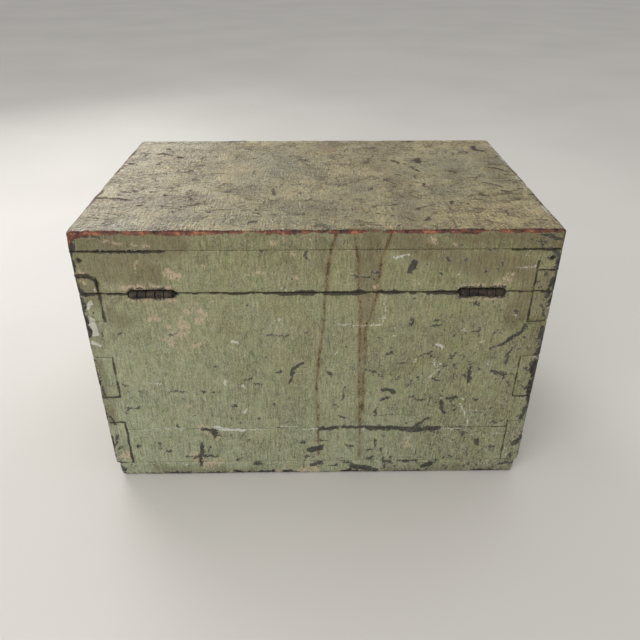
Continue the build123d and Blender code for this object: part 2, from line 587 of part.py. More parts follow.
def all_parts():
    """Every node's shape by name."""
    hinges = {"left": -HINGE_X, "right": HINGE_X}
    parts = carcass_parts()
    parts |= {
        "top_board_nails": board_nails(HEIGHT, (0, 0, -1)),
        "bottom_board_nails": board_nails(0, (0, 0, 1)),
        "body_corner_nails": corner_nails(BODY_CORNER_NAIL_Z),
        "lid_corner_nails": corner_nails((LID_CORNER_NAIL_Z,)),
        "body_hinge_screws": [s for x in hinges.values() for s in hinge_screws(x, -1)],
        "lid_hinge_screws": [s for x in hinges.values() for s in hinge_screws(x, 1)],
    }
    for side, x in hinges.items():
        parts["body_hinge_leaf_" + side] = hinge_leaf(x, -1)
        parts["lid_hinge_leaf_" + side] = hinge_leaf(x, 1)
        parts["hinge_pin_" + side] = hinge_pin(x)
    parts |= {
        "lock_plate": lock_plate(),
        "lock_cover": lock_cover(),
        "lock_ward": lock_ward(),
        "lock_drill_pin": drill_pin(),
        "lock_guide_stud": guide_stud(),
        "lock_plate_screws": lock_screws(),
        "lock_bolt": lock_bolt(),
        "bolt_spring": bolt_spring(),
        "key": key(),
        "link_plate": link_plate(),
        "link_hasps": link_hasps(),
        "link_plate_screws": link_screws(),
        "escutcheon": escutcheon(),
        "escutcheon_pins": escutcheon_pins(),
        "till_runner_left": runner(-1),
        "till_runner_right": runner(1),
        "till_runner_nails": runner_nails(),
    }
    return parts | till_parts()


def main():
    os.makedirs("parts", exist_ok=True)
    for name, shape in all_parts().items():
        export_step(Compound(solids_of(shape)), f"parts/{name}.step")


main()
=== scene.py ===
"""A painted wooden cash box, seen from behind: worn boards, rusted hinges, a box lock and a money till."""

import json
import math

import bpy
import numpy as np
import openvdb
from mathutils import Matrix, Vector

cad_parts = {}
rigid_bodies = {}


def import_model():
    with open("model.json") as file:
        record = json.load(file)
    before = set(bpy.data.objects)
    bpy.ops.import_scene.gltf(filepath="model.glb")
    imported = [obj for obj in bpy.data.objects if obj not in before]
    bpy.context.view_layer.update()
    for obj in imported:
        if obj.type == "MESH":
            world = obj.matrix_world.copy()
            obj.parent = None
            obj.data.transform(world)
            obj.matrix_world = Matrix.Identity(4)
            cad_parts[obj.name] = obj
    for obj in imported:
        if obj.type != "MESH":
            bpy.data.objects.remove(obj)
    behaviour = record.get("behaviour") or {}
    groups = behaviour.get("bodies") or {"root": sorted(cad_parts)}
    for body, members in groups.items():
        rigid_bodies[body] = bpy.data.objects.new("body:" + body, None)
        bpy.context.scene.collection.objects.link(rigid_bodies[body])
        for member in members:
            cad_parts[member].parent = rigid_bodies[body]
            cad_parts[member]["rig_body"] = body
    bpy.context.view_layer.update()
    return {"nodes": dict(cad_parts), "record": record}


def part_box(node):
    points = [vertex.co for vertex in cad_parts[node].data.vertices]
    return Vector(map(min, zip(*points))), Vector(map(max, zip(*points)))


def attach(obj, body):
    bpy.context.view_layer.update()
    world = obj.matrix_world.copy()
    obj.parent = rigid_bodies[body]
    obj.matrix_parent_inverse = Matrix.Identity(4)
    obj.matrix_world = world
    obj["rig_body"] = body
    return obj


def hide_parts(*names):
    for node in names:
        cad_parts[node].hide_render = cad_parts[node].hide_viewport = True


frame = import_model()

MM = 0.001
SEED = 20


def box_mm(node):
    """A CAD node's lowest and highest corners in millimetres."""
    low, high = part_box(node)
    return np.array(low) / MM, np.array(high) / MM


def several_mm(nodes):
    """The box round several CAD nodes in millimetres."""
    boxes = [box_mm(node) for node in nodes]
    return np.min([low for low, _ in boxes], 0), np.max([high for _, high in boxes], 0)


LID_BOARDS = ("top_board", "lid_left_rail", "lid_right_rail", "lid_front_rail", "lid_rear_rail")
BODY_BOARDS = ("bottom_board", "left_wall", "right_wall", "front_wall", "rear_wall", "rear_wall_strip")
CASE_LOW, CASE_HIGH = several_mm(LID_BOARDS + BODY_BOARDS)
LID_LOW = box_mm("lid_rear_rail")[0][2]
BODY_TOP = box_mm("rear_wall")[1][2]
SEAM = (LID_LOW + BODY_TOP) / 2
REAR_Y, TOP_Z = CASE_HIGH[1], CASE_HIGH[2]
HALF_X = CASE_HIGH[0]
TOP_SEAM = box_mm("top_board")[0][2]
BOTTOM_SEAM = box_mm("bottom_board")[1][2]


# --- Noise ---
LATTICE = np.random.default_rng(SEED).random((32, 32, 32)).astype(np.float32)


def corners(t):
    """The corners of a unit cell, each with its weight at places t in the cell."""
    for corner in range(8):
        offset = np.array([corner & 1, corner >> 1 & 1, corner >> 2 & 1])
        yield offset, np.prod(np.where(offset == 1, t, 1 - t), axis=1)


def value_noise(points, scale, shift=0.0):
    """Smooth lattice noise from 0 to 1 at points in millimetres; scale is one or three lattice steps."""
    p = points / np.asarray(scale, np.float32) + shift * 7.31
    base = np.floor(p).astype(np.int64)
    t = (p - base).astype(np.float32)
    t = t * t * (3 - 2 * t)
    total = np.zeros(len(points), np.float32)
    for offset, weight in corners(t):
        cell = (base + offset) % len(LATTICE)
        total += weight * LATTICE[cell[:, 0], cell[:, 1], cell[:, 2]]
    return total


def noise(points, scale, octaves=1, shift=0.0):
    """Layered noise from -1 to 1."""
    total, weight = np.zeros(len(points), np.float32), 0.0
    for octave in range(octaves):
        share = 0.5**octave
        total += share * (2 * value_noise(points, np.asarray(scale) * share, shift + octave) - 1)
        weight += share
    return total / weight


def smooth(low, high, x):
    t = np.clip((x - low) / (high - low), 0, 1)
    return t * t * (3 - 2 * t)


# --- Solids from fields ---
def read(items, name, kind=np.float32):
    """Three numbers of each item of a mesh, as rows."""
    values = np.zeros(len(items) * 3, kind)
    items.foreach_get(name, values)
    return values.reshape(-1, 3)


def mesh_arrays(node):
    """A CAD node's points in millimetres and its triangles."""
    mesh = frame["nodes"][node].data
    mesh.calc_loop_triangles()
    return read(mesh.vertices, "co") / MM, read(mesh.loop_triangles, "vertices", np.int32)


def level_set(node, voxel, band=4):
    """The signed distance to a CAD node, in millimetres, on a grid: (field, grid's first point)."""
    points, triangles = mesh_arrays(node)
    transform = openvdb.createLinearTransform(voxel)
    grid = openvdb.FloatGrid.createLevelSetFromPolygons(
        points, triangles=triangles.astype(np.uint32), transform=transform, halfWidth=band
    )
    first, last = grid.evalActiveVoxelBoundingBox()
    shape = [b - a + 1 for a, b in zip(first, last)]
    field = np.full(shape, band * voxel, np.float32)
    grid.copyToArray(field, ijk=first)
    return field, np.array(first)


def to_mesh(name, field, first, voxel):
    """A closed mesh, in metres, at the field's zero level."""
    grid = openvdb.FloatGrid(4 * voxel)
    grid.transform = openvdb.createLinearTransform(voxel)
    grid.copyFromArray(field.astype(np.float32), ijk=tuple(int(i) for i in first))
    points, quads = grid.convertToQuads(0.0)
    mesh = bpy.data.meshes.new(name)
    mesh.from_pydata((points * MM).tolist(), [], quads[:, ::-1].tolist())
    mesh.update()
    mesh.shade_smooth()
    return mesh


def add_object(mesh, node):
    """Shows a mesh, under the same name, in place of its CAD node."""
    body = frame["nodes"][node]["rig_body"]
    piece = bpy.data.objects.new(node, mesh)
    bpy.context.scene.collection.objects.link(piece)
    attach(piece, body)
    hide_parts(node)
    return piece


def islands(node):
    """The lowest and highest corners, in millimetres, of each separate solid of a CAD node."""
    points, triangles = mesh_arrays(node)
    welded, index = np.unique(np.round(points, 2), axis=0, return_inverse=True)
    triangles = index.reshape(-1)[triangles]
    label = np.arange(len(welded))
    while True:
        lowest = label[triangles].min(1)
        before = label.copy()
        for corner in range(3):
            np.minimum.at(label, triangles[:, corner], lowest)
        label = label[label]
        if (label == before).all():
            break
    groups = [welded[label == root] for root in np.unique(label)]
    return [(group.min(0), group.max(0)) for group in groups]


# --- The case: faces, arrises and where its marks lie ---
# Marks on the outside are placed in millimetres as someone behind the box sees them: u to the right of
# the middle, and z up from the base on the rear face, or v away from the rear edge on the top.
REAR, TOP, FRONT, LEFT, RIGHT, UNDER = range(6)
NOWHERE = -4.0  # a depth well outside any mark
ROUND = 2 * HALF_X + REAR_Y - CASE_LOW[1]


def face_depths(p):
    """How far points are inside each of the case's faces, from REAR to UNDER."""
    x, y, z = p.T
    return np.stack(
        [REAR_Y - y, TOP_Z - z, y - CASE_LOW[1], x - CASE_LOW[0], HALF_X - x, z - CASE_LOW[2]]
    )


def face_and_arris(p):
    """Each point's nearest face, and how far it is from that face's nearest arris."""
    depths = face_depths(p)
    return depths.argmin(0), np.sort(depths, 0)[1]


def unrolled(p, face):
    """Each point's place on the case's skin: round it from the middle of the rear, and up it."""
    x, y, z = p.T
    u, back = -x, REAR_Y - y
    round_case = np.select(
        [face == LEFT, face == RIGHT, face == FRONT], [HALF_X + back, -HALF_X - back, ROUND + x], u
    )
    up = np.select([face == TOP, face == UNDER], [TOP_Z + back, -back], z)
    return np.stack([round_case, up], 1)


def rounded_rectangle(a, b, half_a, half_b, radius):
    """The signed distance to a rectangle with rounded corners; the radius may differ from point to point."""
    qa, qb = np.abs(a) - (half_a - radius), np.abs(b) - (half_b - radius)
    return np.hypot(np.maximum(qa, 0), np.maximum(qb, 0)) + np.minimum(np.maximum(qa, qb), 0) - radius


def worn_case(p, low_z, high_z, inset, foot_radius, corner_radius):
    """The worn outside of the lid, the walls or the bottom board, as a signed distance in millimetres."""
    x, y, z = p.T
    along = noise(p, 34, 3, shift=3)
    nibbled = smooth(0.25, 0.8, noise(p, 9, 2, shift=5))
    middle_z, half_z = (low_z + high_z) / 2, (high_z - low_z) / 2
    is_rear, is_up = y > 0, z > middle_z
    saw = 0.5 + 0.7 * smooth(-110, 10, -x) * is_rear + 0.4 * np.abs(along) + 0.6 * nibbled
    top = 2.6 + 1.2 * along + 1.6 * nibbled
    foot = np.maximum(foot_radius * (0.7 + 0.7 * along + 0.8 * nibbled), 0.2)
    corner_foot = np.maximum(corner_radius + 2.0 * along, 0.5)
    high_edge = {TOP_Z: top, BODY_TOP: saw}.get(high_z, np.full(len(p), 0.2))
    edge = np.where(is_up, high_edge, saw if low_z == LID_LOW else foot)
    corner = np.where(is_up, high_edge, saw if low_z == LID_LOW else corner_foot)
    upright = np.where(is_rear, 3.0 + 1.5 * along + 2.2 * nibbled, 7.5 + along + nibbled)
    half_x, half_y = HALF_X - inset, (REAR_Y - CASE_LOW[1]) / 2
    plan = rounded_rectangle(x, y, half_x, half_y, upright)
    ends = rounded_rectangle(x, z - middle_z, half_x, half_z, corner)
    sides = rounded_rectangle(y, z - middle_z, half_y, half_z, edge)
    return np.maximum(np.maximum(plan, ends), sides)


def stroke_field(q, strokes, far=NOWHERE):
    """How deep points of the skin lie inside the nearest stroke, in millimetres, and far outside all."""
    field = np.full(len(q), far, np.float32)
    for half_width, *route in strokes:
        route = np.array(route, float).reshape(-1, 2)
        reach = half_width - far
        near = np.all((q > route.min(0) - reach) & (q < route.max(0) + reach), axis=1).nonzero()[0]
        if not len(near):
            continue
        best = np.full(len(near), np.inf)
        starts, ends = (route[:-1], route[1:]) if len(route) > 1 else (route, route)
        for start, end in zip(starts, ends):
            run = end - start
            t = np.clip((q[near] - start) @ run / max(run @ run, 1e-6), 0, 1)
            best = np.minimum(best, np.linalg.norm(q[near] - start - t[:, None] * run, axis=1))
        field[near] = np.maximum(field[near], half_width - best)
    return field


def frayed(q, amount, scale, shift):
    """Points of the skin moved about a little, so that strokes laid on them get ragged edges."""
    p = np.column_stack([q, np.zeros(len(q))])
    moved = [noise(p, scale, 2, shift=shift + k) for k in range(2)]
    return q + amount * np.stack(moved, 1)


# A stroke is its half width, then u and z, or u and v, of each point of its route.
# Paint lost down to the dark coat below it, on the rear.
REAR_CHIPS = [
    (1.3, -23, 99, -20, 106, -19, 112, -12, 118), (2.4, -20, 107), (0.7, -33, 109, -28, 110),
    (0.7, -37, 144, -22, 144), (0.6, -18, 141, -14, 142), (0.9, -152, 145, -148, 147),
    (0.5, -163, 149, -165, 139), (1.4, -80, 115), (0.8, -74, 119), (0.9, -57, 102, -53, 103), (0.8, -45, 104),
    (0.5, -120, 91, -107, 91), (0.8, -92, 90, -83, 90), (0.6, -143, 90, -139, 90), (1.6, -70, 75, -67, 76),
    (1.1, -10, 81), (1.1, -35, 76), (0.7, -80, 65), (0.8, -48, 62), (1.5, -116, 54),
    (1.8, -96, 51, -86, 50, -87, 43), (1.9, -152, 32), (1.5, -129, 27, -125, 28),
    (1.9, -99, 34, -98, 26, -101, 19, -101, 10), (1.2, -98, 21, -87, 21), (0.9, -57, 40), (0.9, -20, 19),
    (2.2, -12, 36), (3.2, -6, 27, 3, 30), (2.0, -54, 13, -50, 11), (2.6, -5, 10, 3, 12), (2.6, -168, 7),
    (1.5, -150, 1, -75, 1), (1.7, -68, 3), (2.3, 67, 197, 70, 204), (0.8, 38, 197, 45, 197), (1.2, 89, 195),
    (0.8, 114, 171, 121, 170), (1.8, 158, 150, 150, 140, 143, 134), (1.1, 143, 134, 134, 130),
    (0.8, 154, 132, 149, 125, 148, 115), (0.8, 22, 132), (1.2, 55, 125, 58, 126), (1.0, 64, 117, 69, 117),
    (1.2, 9, 109, 12, 105), (0.5, 22, 94, 20, 80), (1.7, 53, 91, 62, 89), (1.3, 52, 81, 57, 83), (0.8, 75, 83),
    (0.9, 82, 80, 87, 81), (1.8, 101, 79, 103, 70, 105, 67), (1.4, 106, 82, 113, 83), (1.5, 129, 80),
    (0.9, 119, 82), (1.7, 121, 109, 122, 98), (1.1, 116, 105, 118, 104), (0.8, 120, 118, 121, 112),
    (1.5, 138, 109, 146, 105, 151, 105), (1.1, 145, 109, 148, 101), (0.9, 152, 98, 155, 94),
    (1.2, 47, 70, 48, 65), (0.9, 63, 72), (1.2, 14, 75), (0.7, 18, 65, 26, 61), (1.4, 113, 71), (0.6, 131, 63),
    (2.3, 2, 50, 16, 52), (1.6, 22, 52, 40, 52), (2.5, 42, 51, 60, 51, 76, 49), (2.9, 78, 49, 100, 50),
    (1.2, 82, 54, 92, 61), (1.2, 102, 45), (1.3, 129, 50), (1.8, 135, 38, 137, 31), (0.8, 144, 30, 153, 30),
    (1.0, 49, 38, 49, 30), (1.0, 24, 32, 30, 31), (0.7, 3, 38, 10, 36), (1.1, 54, 28, 56, 18, 58, 5),
    (1.3, 43, 17, 48, 19), (0.9, 20, 12, 28, 13), (1.4, 58, 13, 64, 12), (1.2, 70, 13, 87, 13),
    (3.0, 92, 7, 99, 10), (3.4, 30, 8, 40, 5, 50, 3), (1.2, 109, 8, 113, 6), (1.0, 132, 9),
    (0.8, 85, 26, 84, 20), (0.8, 122, 27), (0.6, 76, 20), (1.2, 164, 110, 169, 110), (1.8, 168, 92, 174, 94),
    (1.1, -174, 226, -151, 225), (2.6, -172, 216, -171, 224), (1.0, -158, 214, -118, 213),
    (1.5, -174, 186, -168, 178), (1.8, 172, 190, 170, 176), (1.4, 168, 168, 170, 160),
    (1.2, -172, 96, -170, 84), (1.3, -171, 66, -168, 58), (1.8, 172, 150, 171, 140), (1.8, 172, 72, 170, 60),
    (1.2, -168, 44, -171, 36), (1.2, -139.5, 180, -137.8, 180), (1.2, -104.5, 180, -102, 180),
    (1.2, 104.5, 180, 102, 180), (1.2, 137.8, 180, 139.5, 180), (0.9, -138, 183.9, -124, 184.3),
    (0.8, -118, 184, -106, 184), (0.9, -137, 176.2, -128, 176), (0.8, -121, 175.8, -112, 176.1),
    (0.9, 106, 184.2, 120, 184), (0.8, 126, 183.9, 137, 184.2), (0.9, 104, 176, 114, 175.8),
    (1.0, 122, 176, 137, 176), (1.3, 156, 226, 172, 222), (1.2, 166, 215, 172, 210), (0.8, 150, 222, 158, 219),
    (2.5, 168, 32, 172, 38), (1.3, 160, 9, 174, 11), (1.8, 170, 60), (1.5, 166, 207, 170, 208),
    (0.9, 117, 145, 124, 147), (0.8, 136, 145), (0.5, 88, 156, 97, 155), (0.7, 113, 130),
    (0.6, 97, 108, 92, 100, 98, 100), (0.6, 64, 101, 66, 104), (0.5, 92, 86, 91, 75), (0.9, 150, 42),
    (0.8, 10, 8, 16, 9), (1.3, 103, 14), (0.8, 150, 3, 156, 6),
]
# Rubbed through to a thin pinkish ground.
REAR_SCUFFS = [
    (2.2, -124, 165, -119, 160, -126, 158), (2.0, -112, 152, -110, 144, -113, 136),
    (3.6, -103, 157, -98, 150, -104, 143), (3.2, -98, 163, -92, 170), (3.6, -90, 156, -84, 157),
    (2.2, -86, 166, -83, 161), (2.0, -118, 142, -112, 138), (2.2, -95, 133, -90, 136),
    (4.0, -107, 197, -101, 195), (1.8, -84, 203, -80, 200), (2.4, -16, 193), (2.4, -30, 220),
    (0.9, -53, 193, -44, 196, -38, 196), (1.4, -17, 212), (2.0, -5, 223), (3.6, 140, 192), (3.2, 82, 221),
    (2.0, 98, 217), (2.6, 43, 185), (1.6, 25, 194), (5.0, -95, 52, -85, 44), (5.0, -104, 22, -98, 12),
    (4.0, -84, 15, -96, 10), (5.0, -12, 3, 0, 5), (2.4, 76, 37, 77, 30), (1.2, -105, 75, -98, 74),
    (1.3, -100, 110), (1.0, -38, 111), (1.4, -8, 112), (1.2, 119, 67), (2.6, -139, 185, -122, 185.4, -103, 185),
    (2.0, -138, 174.8, -104, 174.6), (2.2, 104, 185, 138, 185.2), (1.6, 106, 174.8, 136, 174.6),
    (3.0, -168, 196, -170, 190), (3.5, -168, 20, -162, 24), (0.9, -150, 222, -118, 217),
    (0.9, -126, 208, -129, 199),
]
# White and pale marks: paint splashes, scratches down to filler, and a smear at the left corner.
REAR_PALE = [
    (2.2, -85, 53, -75, 51), (1.5, -75, 51, -62, 49), (0.7, -145, 51, -110, 52), (0.6, -60, 51, -48, 51),
    (0.7, -41, 53, -12, 52), (0.6, -12, 50, 0, 50), (1.1, -73, 101, -73, 95), (1.4, -60, 94),
    (0.9, -66, 138, -60, 137), (1.6, -61, 69, -58, 71), (0.6, -58, 126, -52, 122), (1.8, 93, 134, 97, 133),
    (0.7, 14, 152, 50, 152), (0.6, 50, 152, 51, 178), (0.9, 117, 76, 124, 62, 127, 52), (0.6, 103, 50, 126, 51),
    (0.5, 129, 43, 168, 43), (1.0, 150, 160), (0.7, 148, 170), (0.5, 10, 142, 12, 142), (1.2, 14, 95),
    (5.0, -171, 158, -171, 148), (1.6, -172, 138, -166, 135), (1.4, -172, 168, -166, 173), (1.0, 101, 83),
    (0.5, 142, 200, 160, 200), (0.8, -130, 198), (0.5, 5, 155, 12, 154), (0.6, 60, 24, 61, 17), (0.7, -3, 148),
]
# Brown drips that ran down from the lid.
REAR_DRIPS = [
    (1.6, 14, 228, 10, 214, 8, 198, 7, 181), (1.3, 6, 179, 5, 150, 2, 128, 0, 104, 0, 60, 1, 22),
    (1.2, 26, 228, 29, 212, 31, 181), (1.2, 52, 228, 46, 206, 44, 181),
    (1.0, 31, 179, 33, 160, 33, 110, 35, 70, 36, 18), (1.1, 44, 179, 40, 160, 37, 148, 37, 70),
]
REAR_STAINS = [
    (9, 38, 226, 38, 186), (6, 38, 178, 36, 158), (1.8, 35, 150, 35, 60, 36, 20), (6, -153, 164, -145, 158),
    (8, -148, 196), (3, 2, 224, 5, 200), (9, -168, 176), (15, -170, 221, -106, 221), (10, -170, 204, -166, 184),
    (9, 60, 221, 120, 200), (13, -150, 206, -122, 196), (7, 146, 221, 174, 219), (5, 100, 224, 140, 226),
    (9, 120, 206, 150, 196), (9, -166, 206, -152, 198), (4, -140, 4, -60, 3), (4, 60, 3, 165, 4),
    (6, 168, 190, 170, 130), (5, -172, 120, -171, 60), (9, -150, 204, -124, 200), (9, 152, 176, 148, 158),
]
# Joints and seams that have opened, on the rear.
REAR_JOINTS = [
    (1.5, -174, 194.5, -165, 195), (1.3, -165, 195, -159.6, 191), (1.3, -159.2, 191, -159, 176),
    (1.0, -159, 176, -159, 157), (0.7, -159, 124, -159, 100), (1.0, -159, 100, -159, 86),
    (0.8, -174, 85.5, -159, 85.5), (0.5, -172, 124.5, -159, 124.5), (0.8, -172, 59, -159, 59),
    (0.8, -159.3, 59, -159.3, 38), (1.2, -159.3, 38, -159.2, 16), (0.8, -174, 14.6, -159, 14.6),
    (0.8, 158.8, 205, 159, 156), (0.6, 159, 154.5, 169, 154.5), (0.5, 159, 198, 174, 198),
    (0.65, 159, 122, 159, 84), (0.5, 159, 83.4, 171, 83.4), (0.6, 159, 58, 159, 30), (0.8, 159, 30, 159, 14),
    (0.7, -174, 213.9, -108, 213.9), (0.6, 138, 214, 174, 214), (0.3, 108, 51, 158, 51),
]
# Cracks and lost paint on the top.
TOP_CHIPS = [
    (0.8, 18, 91, 30, 103, 42, 112, 48, 119), (0.9, 48, 119, 52, 113), (1.7, -15, 166, -8, 164),
    (0.7, -12, 160, -6, 150), (2.6, 91, 163, 95, 168, 93, 156), (1.5, 84, 145, 90, 131),
    (1.9, 70, 163, 74, 156), (0.9, 54, 177, 49, 167, 45, 156), (0.6, 10, 152, 42, 153),
    (1.3, 152, 143, 160, 138, 168, 128), (2.4, 155, 208, 154, 196, 160, 192),
    (1.1, 136, 188, 144, 192, 144, 183), (1.6, 117, 131, 122, 127), (1.6, 131, 74, 132, 70),
    (1.6, 104, 56, 103, 50), (1.1, 120, 41, 126, 40), (1.2, 139, 100, 146, 97, 151, 92), (2.0, 171, 71),
    (1.7, 165, 85), (2.2, -142, 203), (1.6, -148, 187, -140, 185), (1.3, -145, 190, -135, 182),
    (1.8, -129, 176, -124, 173), (2.0, -93, 178), (1.5, -144, 170), (1.9, -168, 157, -164, 155),
    (1.3, -160, 152), (1.3, -140, 158), (1.6, -172, 67, -160, 66, -145, 62), (1.6, -148, 84, -143, 81),
    (1.1, -140, 87), (1.2, -133, 80, -128, 81), (1.5, -100, 84), (0.7, -143, 66, -135, 68, -132, 58, -141, 56),
    (0.6, -110, 66, -98, 68, -97, 60, -108, 56), (0.8, -103, 47, -92, 52, -86, 58), (1.2, -106, 38),
    (0.6, -170, 125, -150, 122, -128, 128), (0.6, -118, 130, -108, 136, -104, 125), (0.8, -138, 116, -134, 108),
    (0.7, -75, 100, -80, 92), (1.0, -55, 128, -52, 134), (1.2, -35, 86, -33, 72),
    (0.8, -40, 92, -28, 90, -28, 98), (0.9, -40, 66, -34, 58), (0.7, -54, 38, -41, 39), (1.6, -48, 15, -45, 17),
    (0.6, -78, 40, -62, 42), (1.6, -85, 229, -70, 231), (1.2, 88, 226, 97, 229), (0.9, 75, 204, 86, 206),
    (1.0, 104, 210, 115, 210), (1.2, 46, 205, 58, 205), (0.9, 37, 190), (1.0, 130, 186, 129, 180),
    (1.0, 131, 174), (1.3, 12, 146), (1.1, -174, 58, -172, 84), (0.9, -173, 128, -171, 150),
    (1.0, -174, 176, -172, 196), (0.8, 173, 36, 171, 60), (0.9, 174, 122, 171, 146),
    (0.9, 80, 102, 90, 99, 88, 92, 92, 86), (0.9, 84, 118, 84, 112), (0.8, 57, 110, 66, 98),
    (1.0, 76, 40, 90, 50), (1.3, 78, 18, 82, 24), (0.8, 160, 60, 152, 56), (0.7, 136, 112, 142, 122),
    (1.0, 160, 105, 168, 100), (1.2, -165, 14), (0.7, 15, 97, 24, 96), (0.6, 17, 112, 20, 118),
    (0.5, -15, 58, 2, 59), (0.6, 116, 62, 120, 60), (0.8, -122, 190), (0.8, -98, 200),
    (0.6, -62, 210, -64, 200),
]
TOP_STAINS = [
    (10, 66, 8, 70, 60, 68, 130), (12, 60, 140, 58, 175, 62, 215), (8, 36, 110, 34, 84), (10, -20, 46, 4, 40),
    (9, 122, 140, 118, 120), (12, -128, 200, -122, 178), (14, -140, 62, -98, 60), (8, 78, 20), (10, -100, 175),
    (9, 156, 200, 158, 120), (7, -112, 24, -100, 34), (10, 20, 225, 90, 222),
]
TOP_RED = [(7.5, 8, 212, 14, 200)]
TOP_PALE = [
    (1.2, -47, 114), (1.0, 35, 20), (0.7, 66, 135), (1.5, 173, 30, 171, 46), (1.7, 174, 88, 172, 112),
    (1.4, 173, 150, 172, 182), (1.2, 172, 204, 174, 220), (0.6, -70, 128),
]


def scattered(face_size, count, crowding, key, tall=0.5, most=1.5):
    """Small crooked random strokes on a face: crowding(u, v) is the chance, from 0 to 1, that one is kept."""
    rng = np.random.default_rng(SEED + key)
    (low_u, low_v), (high_u, high_v) = face_size
    strokes = []
    while len(strokes) < count:
        u, v = rng.uniform(low_u, high_u), rng.uniform(low_v, high_v)
        keep, upright, width = rng.random(), rng.random() < tall, rng.random()
        steps = rng.normal(0, 1, (3, 2)) * ((0.8, 1.6) if upright else (1.6, 0.8)) * rng.exponential(1.0)
        if keep > crowding(u, v):
            continue
        route = np.cumsum(np.vstack([(u, v), steps]), 0)
        strokes.append((0.2 + (most - 0.2) * width**3, *route.ravel()))
    return strokes


def shifted(strokes, rise, wider=1.0):
    """Strokes given from the rear edge of the top, moved up onto the skin's own measure."""
    places = [(np.reshape(route, (-1, 2)) + (0, rise)).ravel() for _, *route in strokes]
    return [(stroke[0] * wider, *place) for stroke, place in zip(strokes, places)]


def crowd_rear(u, z):
    """Chips crowd the foot of the rear, its right-hand side and its ends."""
    foot = math.exp(-z / 22)
    right = 0.30 / (1 + math.exp(-(u - 20) / 18)) * (1.1 if 20 < z < 150 else 0.35)
    ends = math.exp((abs(u) - HALF_X) / 8)
    return 0.06 + 0.5 * foot + right + 0.75 * ends + (0.12 if u < 0 and z < 110 else 0)


def crowd_plain(u, z):
    """Chips on the other walls crowd their foot and their corners."""
    return 0.12 + 0.6 * math.exp(-z / 25) + 0.35 * math.exp((z - TOP_Z) / 12)


def crowd_top(u, v):
    """Marks on the top lie all over it, and crowd its ends."""
    return 0.45 + 0.4 * math.exp((abs(u) - HALF_X) / 18)


CHIPS = (
    REAR_CHIPS
    + shifted(TOP_CHIPS, TOP_Z, 1.1)
    + scattered(((-HALF_X, 2), (HALF_X, TOP_Z - 8)), 420, crowd_rear, 1, most=1.0)
    + scattered(((HALF_X, 2), (ROUND - HALF_X, TOP_Z - 4)), 170, crowd_plain, 2, most=1.7)
    + scattered(((HALF_X - ROUND, 2), (-HALF_X, TOP_Z - 4)), 170, crowd_plain, 3, most=1.7)
    + scattered(((ROUND - HALF_X, 2), (ROUND + HALF_X, TOP_Z - 4)), 260, crowd_plain, 4, most=1.7)
    + scattered(((-HALF_X, TOP_Z + 5), (HALF_X, 2 * TOP_Z)), 380, crowd_top, 5, tall=0.25, most=1.2)
    + scattered(((-HALF_X, CASE_LOW[1] - REAR_Y), (HALF_X, 0)), 160, crowd_top, 6, most=3.0)
)
SCUFFS = (
    REAR_SCUFFS
    + scattered(((HALF_X, 10), (ROUND + HALF_X, TOP_Z - 10)), 70, crowd_top, 7, most=3.0)
    + scattered(((HALF_X - ROUND, 10), (-HALF_X, TOP_Z - 10)), 30, crowd_top, 8, most=3.0)
    + scattered(((-HALF_X, CASE_LOW[1] - REAR_Y), (HALF_X, 0)), 60, crowd_top, 9, most=5.0)
)
PALE = (
    REAR_PALE
    + shifted(TOP_PALE, TOP_Z)
    + scattered(((HALF_X - ROUND, 10), (ROUND + HALF_X, TOP_Z - 10)), 60, crowd_top, 10, most=1.4)
    + scattered(((-HALF_X, 4), (HALF_X, TOP_Z - 4)), 110, crowd_rear, 12, most=0.9)
)
STAINS = REAR_STAINS + shifted(TOP_STAINS, TOP_Z) + scattered(
    ((HALF_X, 10), (ROUND + HALF_X, TOP_Z - 10)), 16, crowd_top, 11, most=14.0
)
RED = shifted(TOP_RED, TOP_Z)


# --- Boards ---
PLUG_RADIUS = 3.3
SNUG = {"bottom_board": 0.35, "top_board": 0.3}  # how far a board swells into its joints


def nail_mouths(nodes):
    """The mouth of each sunken nail's hole: the middle of the nail's head, its axis and its outward side."""
    mouths = []
    for node in nodes:
        for low, high in islands(node):
            axis = int((high - low).argmax())
            side = 1 if CASE_HIGH[axis] - high[axis] < low[axis] - CASE_LOW[axis] else -1
            head = (low + high) / 2
            head[axis] = high[axis] if side > 0 else low[axis]
            mouths.append((head, axis, side))
    return mouths


def stop_mouths(field, first, voxel, mouths):
    """Fills the mouths of nail holes that were stopped and painted over."""
    for head, axis, side in mouths:
        low = np.clip(np.floor((head - 6) / voxel).astype(int) - first, 0, field.shape)
        high = np.clip(np.ceil((head + 6) / voxel).astype(int) - first, 0, field.shape)
        if (high <= low).any():
            continue
        block = field[tuple(slice(a, b) for a, b in zip(low, high))]
        cells = np.stack(np.meshgrid(*[np.arange(a, b) for a, b in zip(low, high)], indexing="ij"), -1)
        away = (cells + first) * voxel - head
        depth = side * away[..., axis]
        away[..., axis] = 0
        radial = np.linalg.norm(away, axis=-1)
        ring = (np.abs(radial - 4.3) < 0.9) & (np.abs(depth) < 1.1)
        if ring.any() and block[ring].max() < -0.2:
            block[:] = np.minimum(block, np.maximum(radial - PLUG_RADIUS, np.abs(depth - 2) - 2.7))


def sample(field, first, voxel, p):
    """A field's value at points, read between its grid points."""
    q = np.clip(p / voxel - first, 0, np.array(field.shape) - 1.001)
    base = q.astype(int)
    return sum(weight * field[tuple((base + offset).T)] for offset, weight in corners(q - base))


